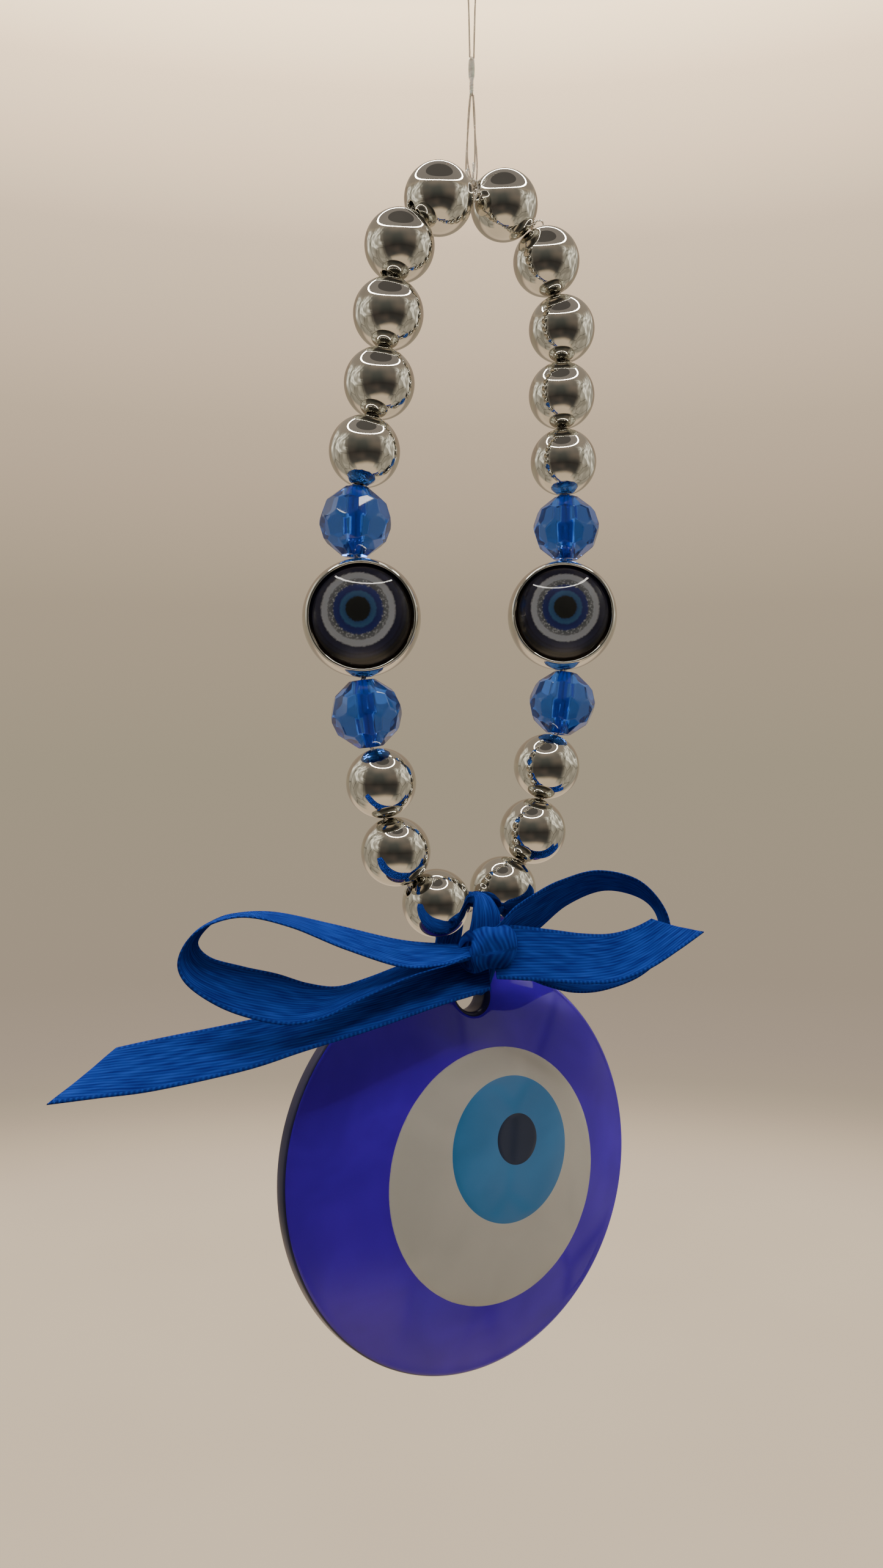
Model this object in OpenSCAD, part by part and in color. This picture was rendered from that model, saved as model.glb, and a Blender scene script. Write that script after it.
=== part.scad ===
// Hanging evil eye ornament: a closed string of beads on a nylon thread, with a
// glass eye slung under it on a bowed satin ribbon.
// Frame: origin at the top of the thread's hanging loop, +Z up, front of the eye towards -Y.

/* [Beads] */
// Diameter of a silvered bead and of a faceted bead
bead_d = 12; // [11:0.5:13]
// Diameter of an eye bead across its ring
eye_bead_d = 20; // [18:0.5:21]
// Depth of an eye bead's ring, front to back
eye_ring_depth = 8; // [7:0.5:9]
// Height of the clear dome over each face of an eye bead
eye_dome_h = 2.4; // [1.5:0.1:3]
// Diameter of the hole through a bead
bead_hole_d = 2.4; // [2.2:0.1:2.6]

/* [String and thread] */
// Diameter of the clear elastic that carries the beads
string_d = 0.6; // [0.4:0.1:0.8]
// Diameter of the nylon hanging thread
thread_d = 0.3; // [0.2:0.05:0.4]
// Height from the top bead on the left to the top of the hanging loop
hang_h = 50; // [45:1:60]

/* [Ribbon] */
// Width of the satin ribbon
ribbon_w = 10; // [8:0.5:11]
// Thickness of the ribbon, with its crinkle
ribbon_t = 0.4; // [0.3:0.1:0.6]

/* [Glass eye] */
// Diameter of the glass eye
glass_d = 72; // [68:1:74]
// Thickness of the eye at its edge
glass_edge_t = 3; // [2.5:0.5:4]
// Height of the dome above the edge
glass_dome_h = 5; // [4:0.5:6]
// Diameter of the hanging hole
hole_d = 6.4; // [6:0.2:7]
// Height of the hole above the middle of the eye
hole_up = 29.5; // [29:0.5:30]

/* [Hidden] */
gap = 0.1;
string_r = string_d / 2;
thread_r = thread_d / 2;
bead_r = bead_d / 2;
eye_bead_r = eye_bead_d / 2;
glass_r = glass_d / 2;

// Kinds of bead down one side: S silvered, F faceted, E eye.
kinds = "SSSSSFEFSSS";
n_side = len(kinds);
eye_place = 6;
// Turn of each eye bead on the string, left then right, degrees towards -X.
eye_spins = [23, 29];
// Heading of each step from bead to bead, degrees outwards from straight down.
left_turns = [38, 10, 8, 13, 8, -4, -3, -13, -13, -40];
right_turns = [47, 16, 0, 2, 3, -3, 0, -16, -14, -31];
left_top = [-6.5, 0, -hang_h];
right_top = [6.5, 0, 1.6 - hang_h];

n_silver = 16;
n_faceted = 4;
silver_names = [for (k = [1:n_silver]) str("silver_bead_", k < 10 ? "0" : "", k)];
faceted_names = [for (k = [1:n_faceted]) str("faceted_bead_0", k)];

// ---- geometry helpers ----

function unit(v) = v / norm(v);
function bead_radius(i) = i == eye_place ? eye_bead_r : bead_r;
// Direction of a heading, with side -1 for left and 1 for right.
function toward(side, heading) = [side * sin(heading), 0, -cos(heading)];
// Centre of bead i, reached one step at a time from the top bead.
function centre(top, side, turns, i) = i == 0 ? top :
    centre(top, side, turns, i - 1)
    + (bead_radius(i - 1) + bead_radius(i) + gap) * toward(side, turns[i - 1]);
// Heading into and out of bead i: the end beads meet across the middle.
function heading_in(turns, i) = i == 0 ? 90 : turns[i - 1];
function heading_out(turns, i) = i == n_side - 1 ? -90 : turns[i];
// A bead's hole lies halfway between the headings into it and out of it.
function hole_heading(turns, i) = (heading_in(turns, i) + heading_out(turns, i)) / 2;

left_centres = [for (i = [0:n_side - 1]) centre(left_top, -1, left_turns, i)];
right_centres = [for (i = [0:n_side - 1]) centre(right_top, 1, right_turns, i)];
left_holes = [for (i = [0:n_side - 1]) hole_heading(left_turns, i)];
right_holes = [for (i = [0:n_side - 1]) hole_heading(right_turns, i)];

// The beads of one kind, left side first: [centre, side, heading of the hole].
function picked(kind) = concat(
    [for (i = [0:n_side - 1]) if (kinds[i] == kind) [left_centres[i], -1, left_holes[i]]],
    [for (i = [0:n_side - 1]) if (kinds[i] == kind) [right_centres[i], 1, right_holes[i]]]
);
silver_places = picked("S");
faceted_places = picked("F");
eye_places = [for (k = [0, 1]) concat(picked("E")[k], [eye_spins[k]])];

// Catmull-Rom curve through a list of equal-length rows, n steps to each span.
function spline_at(p, i, t) =
    let (a = p[max(i - 1, 0)], b = p[i], c = p[i + 1], d = p[min(i + 2, len(p) - 1)])
    0.5 * (2 * b + (c - a) * t + (2 * a - 5 * b + 4 * c - d) * t * t + (3 * b - a - 3 * c + d) * t * t * t);
function smooth(p, n) = concat(
    [for (i = [0:len(p) - 2], j = [0:n - 1]) spline_at(p, i, j / n)],
    [p[len(p) - 1]]
);
function tangent(p, i) = unit(p[min(i + 1, len(p) - 1)] - p[max(i - 1, 0)]);

// Skin over rings of m points each: closed = true joins the last ring to the first.
module skin(rings, closed = false) {
    m = len(rings[0]);
    n = len(rings);
    spans = closed ? n : n - 1;
    sides = [for (i = [0:spans - 1], j = [0:m - 1])
        let (a = i * m + j, b = i * m + (j + 1) % m, c = ((i + 1) % n) * m + j, d = ((i + 1) % n) * m + (j + 1) % m)
        each [[a, b, d], [a, d, c]]];
    first = [for (j = [1:m - 2]) [0, j + 1, j]];
    last = [for (j = [1:m - 2]) let (o = (n - 1) * m) [o, o + j, o + j + 1]];
    polyhedron([for (r = rings) each r], closed ? sides : concat(sides, first, last));
}

// Round cord of 8 sides along points that stay near one vertical plane.
function ring(p, t, r) =
    let (u = unit(cross([0, 1, 0], t)), v = cross(t, u))
    [for (k = [0:7]) p + r * (cos(45 * k) * u + sin(45 * k) * v)];
module cord(path, r, closed = false) {
    n = len(path);
    skin([for (i = [0:n - 1])
        let (t = closed ? unit(path[(i + 1) % n] - path[(i + n - 1) % n]) : tangent(path, i))
        ring(path[i], t, r)], closed);
}

// Flat ribbon: each station is [x, y, z, sweep, dip], the middle of the ribbon and the way
// from its far edge to its near edge, swept left of straight forward and dipped below level.
// A cut of so many steps slants the last end, so that its near edge is the longer one.
function across(s) = [-sin(s[3]) * cos(s[4]), -cos(s[3]) * cos(s[4]), -sin(s[4])];
function spot(s) = [s[0], s[1], s[2]];
module ribbon(stations, steps, cut = 0) {
    p = smooth(stations, steps);
    mids = [for (s = p) spot(s)];
    last = len(p) - 1;
    skin([for (i = [0:last])
        let (w = across(p[i]) * ribbon_w / 2, n = unit(cross(w, tangent(mids, i))) * ribbon_t / 2,
            far = cut > 0 ? 1 - 2 * min(1, (last - i + 0.3) / cut) : -1)
        [mids[i] + far * w - n, mids[i] + w - n, mids[i] + w + n, mids[i] + far * w + n]]);
}

// ---- hanging thread ----

knot_at_z = 27.2;
knot_h = 4;
knot_r = 0.8;

// Loop of thread above the knot that goes over a nail or hook: up, over and down.
loop_route = [
    [-0.4, 0, -24.1], [-0.5, 0, -20], [-0.7, 0, -14], [-1.2, 0, -9], [-2.2, 0, -5], [-2.4, 0, -2.6],
    [-1.4, 0, -0.7], [0, 0, -0.15], [1.4, 0, -0.7], [2.4, 0, -2.6], [2.2, 0, -5], [1.2, 0, -9],
    [0.7, 0, -14], [0.5, 0, -20], [0.4, 0, -24.1]
];
// Four strands below the knot: down in front, under the elastic and up behind, twice.
strand_route = [
    [-0.3, 0, -30.5], [-0.8, -0.2, -35], [-1.2, -0.6, -42], [-0.6, -0.9, -45.8], [-0.2, -0.5, -47.5],
    [-0.2, 0.5, -47.5], [-0.5, 0.9, -45.8], [-0.8, 0.6, -42], [-0.5, 0.2, -35], [-0.2, 0.1, -31],
    [0, 0, -30.5], [0.2, -0.1, -31], [0.3, -0.3, -35], [0.6, -0.8, -42], [0.4, -1, -45.4],
    [0.15, -0.5, -47.35], [0.15, 0.5, -47.35], [0.5, 1, -45.4], [0.9, 0.6, -42], [0.7, 0.2, -35],
    [0.3, 0, -30.5]
];

module hanging_loop() {
    color("lightgray") cord(smooth(loop_route, 4), thread_r);
}

module hanging_thread() {
    color("lightgray") cord(smooth(strand_route, 3), thread_r);
}

// The whipping that gathers the strands: a short round-ended barrel.
module thread_knot() {
    color("white") translate([0, 0.1, -knot_at_z]) {
        cylinder(h = knot_h, r = knot_r, center = true, $fn = 24);
        for (m = [-1, 1]) translate([0, 0, m * knot_h / 2]) sphere(knot_r, $fn = 24);
    }
}

// ---- bead string ----

// Where the elastic crosses from one bead to the next.
function crossing(cs, side, holes, i) =
    (cs[i] + bead_radius(i) * toward(side, holes[i])
    + cs[i + 1] - bead_radius(i + 1) * toward(side, holes[i + 1])) / 2;
inset = 1.6;
function down_side(cs, side, holes) = [for (i = [0:n_side - 1]) each concat(
    [cs[i] - (bead_radius(i) - inset) * toward(side, holes[i])],
    [cs[i] + (bead_radius(i) - inset) * toward(side, holes[i])],
    i == n_side - 1 ? [] : [crossing(cs, side, holes, i)])];
left_run = down_side(left_centres, -1, left_holes);
right_run = down_side(right_centres, 1, right_holes);
string_route = concat(left_run, [for (i = [len(right_run) - 1:-1:0]) right_run[i]]);
top_cross = (left_centres[0] - bead_r * toward(-1, left_holes[0])
    + right_centres[0] - bead_r * toward(1, right_holes[0])) / 2;

module bead_string() {
    color("lightgray") cord(string_route, string_r, closed = true);
}

module string_knot() {
    color("white") hull() {
        translate(top_cross + [0.5, 0, 0.7]) sphere(0.45, $fn = 16);
        translate(top_cross + [0.85, 0, 1.9]) sphere(0.5, $fn = 16);
    }
}

// ---- beads ----

// Puts a bead that is built about +Z in its place on the string.
module placed(place) {
    translate(place[0]) rotate([0, place[1] * -place[2], 0]) children();
}

module threading_hole(r) {
    cylinder(h = 3 * r, r = bead_hole_d / 2, center = true, $fn = 32);
}

module silver_bead(place) {
    color("silver") placed(place) difference() {
        sphere(bead_r, $fn = 48);
        threading_hole(bead_r);
        for (m = [0, 1]) mirror([0, 0, m]) translate([0, 0, bead_r - 0.5])
            cylinder(h = 1, r1 = bead_hole_d / 2, r2 = bead_hole_d / 2 + 1, $fn = 32);
    }
}

// A girdle of flat facets at latitude tilt, each bead_r * flat from the middle.
facets = 10;
flat = 0.95;
module girdle(tilt, turn) {
    h = bead_r;
    mid_r = bead_r * flat / cos(tilt);
    drop = h * tan(tilt);
    out = 1 / cos(180 / facets);
    rotate(turn) cylinder(h = 2 * h, r1 = (mid_r + drop) * out, r2 = (mid_r - drop) * out,
        center = true, $fn = facets);
}

module faceted_bead(place) {
    color("royalblue") placed(place) difference() {
        intersection() {
            girdle(18, 0);
            girdle(-18, 180 / facets);
            girdle(50, 180 / facets);
            girdle(-50, 0);
            cylinder(h = 2 * bead_r * flat, r = bead_r, center = true, $fn = 48);
        }
        threading_hole(bead_r);
    }
}

// ---- eye beads ----

rim_r = sqrt(eye_bead_r * eye_bead_r - eye_ring_depth * eye_ring_depth / 4);
seat_r = rim_r - 0.5;
core_t = eye_ring_depth - 1.4;

module eye_placed(place) {
    placed(place) rotate([90, 0, -place[3]]) children();
}

// Slice of a ball, bored through for the resin eye and again for the string.
module eye_ring(place) {
    color("silver") difference() {
        eye_placed(place) difference() {
            intersection() {
                sphere(eye_bead_r, $fn = 96);
                cylinder(h = eye_ring_depth, r = eye_bead_r + 1, center = true, $fn = 96);
            }
            cylinder(h = eye_ring_depth + 1, r = seat_r, center = true, $fn = 96);
        }
        placed(place) threading_hole(eye_bead_r);
    }
}

module eye_core(place) {
    color("midnightblue") difference() {
        eye_placed(place) cylinder(h = core_t, r = seat_r - 0.05, center = true, $fn = 96);
        placed(place) threading_hole(eye_bead_r);
    }
}

// Clear resin dome on the front face, or on the back one.
dome_edge_r = seat_r - 0.4;
dome_sphere_r = (dome_edge_r * dome_edge_r + eye_dome_h * eye_dome_h) / (2 * eye_dome_h);
module eye_dome(place, back) {
    color("lightsteelblue") eye_placed(place) mirror([0, 0, back ? 1 : 0]) intersection() {
        translate([0, 0, core_t / 2 + eye_dome_h - dome_sphere_r]) sphere(dome_sphere_r, $fn = 180);
        translate([0, 0, core_t / 2]) cylinder(h = eye_dome_h + 1, r = seat_r, $fn = 96);
    }
}

// ---- glass eye ----

glass_at = [-0.5, 0, -hang_h - 168.6];
glass_lean = -6;
glass_turn = 6;
hole_x = 0.5;
glass_sphere_r = (glass_r * glass_r + glass_dome_h * glass_dome_h) / (2 * glass_dome_h);
// Each layer: radius, sideways and upward offset, depth of the floor of its pocket.
white = [22.6, 3.6, -2.4, 1.2];
iris = [13.2, 6.2, 1.8, 2.2];
dot = [5, 7.4, 3.4, 3.2];

module glass_placed() {
    translate(glass_at) rotate([glass_lean, 0, glass_turn]) children();
}

// Plano-convex blank: flat back, straight edge and a domed front towards -Y.
module glass_blank() {
    rotate([90, 0, 0]) intersection() {
        translate([0, 0, -glass_edge_t]) cylinder(h = glass_edge_t + glass_dome_h + 1, r = glass_r, $fn = 128);
        translate([0, 0, glass_dome_h - glass_sphere_r]) sphere(glass_sphere_r, $fn = 400);
    }
}

// Round column through the front of the blank, from a layer's floor forwards.
module layer_column(layer) {
    translate([layer[1], -layer[3], layer[2]]) rotate([90, 0, 0]) cylinder(h = 2 * glass_dome_h, r = layer[0], $fn = 96);
}

module glass_body() {
    color("mediumblue") glass_placed() difference() {
        glass_blank();
        layer_column(white);
        translate([hole_x, 0, hole_up]) rotate([90, 0, 0]) cylinder(h = 30, d = hole_d, center = true, $fn = 48);
    }
}

module white_layer() {
    color("ivory") glass_placed() difference() {
        intersection() { glass_blank(); layer_column(white); }
        layer_column(iris);
    }
}

module iris_layer() {
    color("steelblue") glass_placed() difference() {
        intersection() { glass_blank(); layer_column(iris); }
        layer_column(dot);
    }
}

module pupil() {
    color("darkslategray") glass_placed() intersection() { glass_blank(); layer_column(dot); }
}

// ---- ribbon ----

// Every height below is counted from the left top bead.
function lowered(stations) = [for (s = stations) [for (k = [0:len(s) - 1]) k == 2 ? s[k] - hang_h : s[k]]];

// Bunched band of the sling: [x, y, z, width, thickness]. It starts in the knot, goes up
// over the elastic between the bottom beads, down behind the eye and forward through its hole.
sling_stations = lowered([
    [-0.5, -5.5, -129, 4.6, 1.4], [-0.6, -6.3, -126, 4.4, 1.2], [-0.4, -6.2, -123.5, 4, 1.2],
    [-0.2, -4.4, -121.6, 2.8, 1.8], [-0.1, -1.6, -121.8, 1.25, 2.4], [-0.1, 1.4, -122, 1.25, 2.2],
    [0, 4.2, -123.2, 2.6, 1.6], [0, 6.6, -126, 4, 1.2], [-0.4, 8.2, -130, 5, 1],
    [-0.6, 8.9, -134.4, 4.2, 1], [-0.7, 7.8, -137.2, 3, 1.1], [-0.5, 5, -137.5, 2.7, 1.2],
    [-0.7, 2, -137.7, 2.7, 1.2], [-1.5, -0.4, -137.2, 3.4, 1.2], [-0.8, -2.8, -135, 4, 1.1], [-0.2, -4.8, -131.6, 4.6, 1]
]);
module ribbon_sling() {
    p = smooth(sling_stations, 3);
    mids = [for (s = p) spot(s)];
    color("mediumblue") skin([for (i = [0:len(p) - 1])
        let (w = [p[i][3] / 2, 0, 0], n = unit(cross(w, tangent(mids, i))) * p[i][4] / 2)
        [mids[i] - w - n * 0.4, mids[i] - 0.7 * w - n, mids[i] + 0.7 * w - n, mids[i] + w - n * 0.4,
         mids[i] + w + n * 0.4, mids[i] + 0.7 * w + n, mids[i] - 0.7 * w + n, mids[i] - w + n * 0.4]]);
}

knot_at = [-0.5, -6.4, -129.6 - hang_h];
module bow_knot() {
    color("mediumblue") hull() {
        translate(knot_at + [-1.2, -0.2, 0.6]) sphere(3.1, $fn = 24);
        translate(knot_at + [1.4, -0.4, -0.5]) sphere(3.3, $fn = 24);
        translate(knot_at + [0, 1.4, 0]) sphere(2, $fn = 24);
    }
}

loop_left_stations = lowered([
    [-2.5, -6.4, -129.6, 27, 8], [-9, -6.6, -129.8, 25, 12], [-17, -7, -129, 19, 18],
    [-28, -7, -125.5, 8, 16], [-38, -8, -122, 4, 6], [-45.5, -8, -121, 8, -5],
    [-50.5, -8, -122.6, 26, -3], [-53, -8, -126, 31, 4], [-51.5, -8.3, -129.2, 38, 12],
    [-46.5, -8.8, -132, 42, 26], [-41, -9, -134, 42, 33], [-35.5, -9, -135.7, 37, 28],
    [-30, -8.8, -136, 32, 17], [-24, -8, -134.6, 29, 10], [-14, -7, -132, 25, 8], [-2.5, -6.4, -130.4, 25, 8]
]);
loop_right_stations = lowered([
    [1.5, -6, -128.8, 15, -20], [6, -5, -126.6, 23, -32], [11, -4.4, -124.4, 36, -40],
    [17, -4, -121.4, 40, -33], [25, -4, -119.6, 40, -27], [33, -4, -121.6, 32, -23],
    [37.6, -4, -126.4, 25, -8], [37.8, -4, -131.8, 27, 0], [33, -4, -136, 32, 0],
    [26, -4, -138.2, 34, 2], [19, -4.4, -137.8, 33, 5], [12.5, -5, -136, 32, 4],
    [7, -5.6, -133.6, 30, 4], [1.5, -6.2, -131, 25, 4]
]);
tail_left_stations = lowered([
    [-1.5, -4.8, -131.6, 25, 10], [-10, -6, -135, 24, 16], [-22.5, -7, -137.8, 17, 24],
    [-35, -7, -140, 9, 28], [-44, -7, -141.5, 12, 34], [-57, -7, -142.8, 19, 36],
    [-65.5, -7, -143.3, 17, 28], [-72.8, -7, -143.8, 13, 20]
]);
tail_right_stations = lowered([
    [0.5, -8, -129.6, 24, 30], [5, -9, -129.9, 27, 36], [11, -10, -130.6, 25, 38],
    [17, -11, -131.4, 21, 36], [22.6, -12, -131.5, 20, 36], [28, -13, -130.2, 18, 36],
    [33.4, -14, -128, 15, 24], [39, -14.5, -125.8, 14, 10]
]);

module bow_loop_left() {
    color("mediumblue") ribbon(loop_left_stations, 4);
}

module bow_loop_right() {
    color("mediumblue") ribbon(loop_right_stations, 4);
}

// Steps at the end of each tail over which its slanted cut runs.
tail_cut = 5;
module bow_tail_left() {
    color("mediumblue") ribbon(tail_left_stations, 4, tail_cut);
}

module bow_tail_right() {
    color("mediumblue") ribbon(tail_right_stations, 4, tail_cut);
}

hanging_loop();
thread_knot();
hanging_thread();
bead_string();
string_knot();
for (k = [0:n_silver - 1])
    silver_bead(silver_places[k]);
for (k = [0:n_faceted - 1])
    faceted_bead(faceted_places[k]);
eye_ring(eye_places[0]);  // eye_ring_left
eye_core(eye_places[0]);  // eye_core_left
eye_dome(eye_places[0], false);  // eye_dome_front_left
eye_dome(eye_places[0], true);  // eye_dome_back_left
eye_ring(eye_places[1]);  // eye_ring_right
eye_core(eye_places[1]);  // eye_core_right
eye_dome(eye_places[1], false);  // eye_dome_front_right
eye_dome(eye_places[1], true);  // eye_dome_back_right
ribbon_sling();
bow_knot();
bow_loop_left();
bow_loop_right();
bow_tail_left();
bow_tail_right();
glass_body();
white_layer();
iris_layer();
pupil();
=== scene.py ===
"""Evil eye ornament in Blender: beads on a clear elastic, a nylon hanging thread, and a
glass eye slung on a bowed satin ribbon.

Everything is in metres in the CAD frame: origin at the top of the hanging loop, +Z up and
the front of the eye towards -Y. Shapes are numpy grids or profiles; each function's
docstring gives its formula in words.
"""

from math import atan2, cos, degrees, pi, radians, sin, sqrt

import bmesh
import bpy
import numpy as np
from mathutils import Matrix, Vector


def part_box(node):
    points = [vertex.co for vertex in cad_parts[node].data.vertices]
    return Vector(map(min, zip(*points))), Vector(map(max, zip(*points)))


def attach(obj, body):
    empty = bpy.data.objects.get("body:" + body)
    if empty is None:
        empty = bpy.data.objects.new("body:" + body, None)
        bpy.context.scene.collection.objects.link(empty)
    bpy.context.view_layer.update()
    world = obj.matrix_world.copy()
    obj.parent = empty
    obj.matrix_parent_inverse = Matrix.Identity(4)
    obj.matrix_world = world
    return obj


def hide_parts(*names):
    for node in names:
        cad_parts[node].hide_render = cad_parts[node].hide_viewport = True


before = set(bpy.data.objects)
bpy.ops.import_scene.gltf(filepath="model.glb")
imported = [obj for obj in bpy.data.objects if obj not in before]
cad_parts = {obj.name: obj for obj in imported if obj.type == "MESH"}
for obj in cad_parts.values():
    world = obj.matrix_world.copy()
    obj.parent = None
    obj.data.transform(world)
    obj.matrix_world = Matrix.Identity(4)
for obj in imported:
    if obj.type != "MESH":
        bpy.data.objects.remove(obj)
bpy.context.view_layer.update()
MM = 0.001
HANG_H = 50.0  # the beads and the bow are placed from the left top bead, this far down


# ---- camera ----

camera = bpy.data.objects.new("camera", bpy.data.cameras.new("camera"))
camera.location = (-0.0970, -0.1816, -0.1477)
camera.rotation_euler = (radians(90 - 1.04), 0, radians(-26.63))
camera.data.sensor_fit = "VERTICAL"
camera.data.sensor_height = 24
camera.data.lens = 17.77
camera.data.clip_start = 0.01
bpy.context.scene.collection.objects.link(camera)
bpy.context.scene.camera = camera


# ---- materials: helpers ----


def tone(code, alpha=1.0):
    """A linear RGBA from an sRGB hex value."""
    srgb = np.array([int(code[k : k + 2], 16) for k in (1, 3, 5)]) / 255
    linear = np.where(srgb <= 0.04045, srgb / 12.92, ((srgb + 0.055) / 1.055) ** 2.4)
    return (*[float(v) for v in linear], alpha)


def add(tree, kind, settings=None, **values):
    """Adds a node. settings are its own properties, values its inputs by name, with _ for a
    space: a socket value, or an output socket that is linked in."""
    node = tree.nodes.new(kind)
    for key, value in (settings or {}).items():
        setattr(node, key, value)
    for key, value in values.items():
        place = int(key[1:]) if key[0] == "i" and key[1:].isdigit() else key.replace("_", " ")
        socket = node.inputs[place]
        if isinstance(value, bpy.types.NodeSocket):
            tree.links.new(value, socket)
        else:
            socket.default_value = value
    return node


def new_material(name):
    """A material with an empty Principled surface: (material, tree, shader)."""
    made = bpy.data.materials.new(name)
    made.use_nodes = True
    tree = made.node_tree
    return made, tree, tree.nodes["Principled BSDF"]


def ramp(tree, fac, stops, interpolation="LINEAR"):
    """A colour ramp through (place, RGBA) stops."""
    node = add(tree, "ShaderNodeValToRGB", Fac=fac)
    node.color_ramp.interpolation = interpolation
    elements = node.color_ramp.elements
    while len(elements) > 1:
        elements.remove(elements[-1])
    elements[0].position, elements[0].color = stops[0]
    for place, colour in stops[1:]:
        elements.new(place).color = colour
    return node.outputs["Color"]


# ---- shapes: helpers ----


def grid_faces(rows, columns, wrap_rows=False, wrap_columns=False):
    """Quads over a rows by columns grid of points, joined end to start where it wraps."""
    i = np.arange(rows if wrap_rows else rows - 1)[:, None]
    j = np.arange(columns if wrap_columns else columns - 1)[None, :]
    down, along = (i + 1) % rows, (j + 1) % columns
    corners = [i * columns + j, i * columns + along, down * columns + along, down * columns + j]
    return np.stack(np.broadcast_arrays(*corners), -1).reshape(-1, 4)


def mesh_piece(name, points, faces, material, body, uv=None, smooth=True):
    """A mesh of points in millimetres, with an optional UV for each point, on a body."""
    mesh = bpy.data.meshes.new(name)
    points = np.asarray(points, float).reshape(-1, 3) * MM
    faces = [tuple(f) for f in np.asarray(faces).tolist()] if not isinstance(faces, list) else faces
    mesh.from_pydata(points.tolist(), [], faces)
    if uv is not None:
        loops = np.empty(len(mesh.loops), np.int32)
        mesh.loops.foreach_get("vertex_index", loops)
        layer = mesh.uv_layers.new(name="cloth")
        layer.data.foreach_set("uv", np.asarray(uv, float).reshape(-1, 2)[loops].ravel())
    mesh.polygons.foreach_set("use_smooth", [smooth] * len(mesh.polygons))
    mesh.materials.append(material)
    mesh.update()
    piece = bpy.data.objects.new(name, mesh)
    bpy.context.scene.collection.objects.link(piece)
    if body:
        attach(piece, body)
    return piece


def smooth_rows(rows, steps, closed=False):
    """Catmull-Rom spline through rows of numbers, with steps points to each span."""
    rows = np.asarray(rows, float)
    n = len(rows)
    spans = n if closed else n - 1
    s = np.arange(spans * steps + (0 if closed else 1)) / steps
    k = np.minimum(s.astype(int), spans - 1)
    t = (s - k)[:, None]
    at = (lambda i: rows[i % n]) if closed else (lambda i: rows[np.clip(i, 0, n - 1)])
    a, b, c, d = at(k - 1), at(k), at(k + 1), at(k + 2)
    return 0.5 * (2 * b + (c - a) * t + (2 * a - 5 * b + 4 * c - d) * t**2
                  + (3 * b - a - 3 * c + d) * t**3)


def unit(v):
    """Vectors scaled to length one."""
    return v / np.maximum(np.linalg.norm(v, axis=-1, keepdims=True), 1e-12)


def tangents(path, closed=False):
    """Unit direction along a path, from each point's two neighbours."""
    if closed:
        return unit(np.roll(path, -1, 0) - np.roll(path, 1, 0))
    return unit(np.gradient(path, axis=0))


def tube_points(path, radius, sides=10, closed=False, up=(0, 1, 0)):
    """Rings of radius round each point of a path; the first side leans to up."""
    path = np.asarray(path, float)
    along = tangents(path, closed)
    side = unit(np.cross(along, np.asarray(up, float) + 1e-6 * np.arange(1, 4)))
    other = np.cross(side, along)
    turn = np.linspace(0, 2 * pi, sides, endpoint=False)[None, :, None]
    radius = np.broadcast_to(np.asarray(radius, float).reshape(-1, 1, 1), (len(path), 1, 1))
    return path[:, None] + radius * (np.cos(turn) * side[:, None] + np.sin(turn) * other[:, None])


def tube(path, radius, sides=10, closed=False, up=(0, 1, 0)):
    """A tube along a path, closed by an end cap of one face at each end: (points, faces)."""
    rings = tube_points(path, radius, sides, closed, up)
    faces = [tuple(f) for f in grid_faces(len(rings), sides, closed, True).tolist()]
    if not closed:
        faces += [tuple(range(sides))[::-1],
                  tuple(range((len(rings) - 1) * sides, len(rings) * sides))]
    return rings.reshape(-1, 3), faces


def joined(parts):
    """Several (points, faces) made one."""
    points, faces, start = [], [], 0
    for some, quads in parts:
        points.append(some)
        faces += [tuple(v + start for v in f) for f in quads]
        start += len(some)
    return np.concatenate(points), faces


def turned(profile, steps, closed=True):
    """A profile of (distance from axis, place along axis) turned about the local Z axis."""
    profile = np.asarray(profile, float)
    turn = np.linspace(0, 2 * pi, steps, endpoint=False)[:, None]
    rho, along = profile[:, 0][None], profile[:, 1][None]
    points = np.stack([rho * np.cos(turn), rho * np.sin(turn), along + 0 * turn], -1)
    return points, grid_faces(steps, len(profile), True, closed)


def curve_cord(name, path, diameter, material, body):
    """An open curve through points in millimetres, as thick as a real cord."""
    data = bpy.data.curves.new(name, "CURVE")
    data.dimensions = "3D"
    data.bevel_depth = diameter / 2 * MM
    data.bevel_resolution = 3
    data.use_fill_caps = True
    spline = data.splines.new("POLY")
    spline.points.add(len(path) - 1)
    flat = np.concatenate([np.asarray(path) * MM, np.ones((len(path), 1))], 1)
    spline.points.foreach_set("co", flat.ravel())
    data.materials.append(material)
    piece = bpy.data.objects.new(name, data)
    bpy.context.scene.collection.objects.link(piece)
    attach(piece, body)
    return piece


# ---- materials ----


def silvered_plastic():
    """Vacuum-metallised ABS: aluminium film under clear lacquer, as smooth as a mirror. The
    lacquer pools a little, so reflections waver slightly over a few millimetres."""
    made, tree, shader = new_material("silvered_plastic")
    place = add(tree, "ShaderNodeTexCoord").outputs["Object"]
    pool = add(tree, "ShaderNodeTexNoise", Vector=place, Scale=1 / (6 * MM), Detail=1.0)
    bump = add(tree, "ShaderNodeBump", Height=pool.outputs["Fac"], Strength=0.05,
               Distance=0.05 * MM)
    tree.links.new(bump.outputs["Normal"], shader.inputs["Normal"])
    film = ramp(tree, pool.outputs["Fac"], [(0.3, tone("#c6c4bd")), (0.7, tone("#d4d2ca"))])
    tree.links.new(film, shader.inputs["Base Color"])
    shader.inputs["Metallic"].default_value = 1.0
    shader.inputs["Roughness"].default_value = 0.035
    return made


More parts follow.
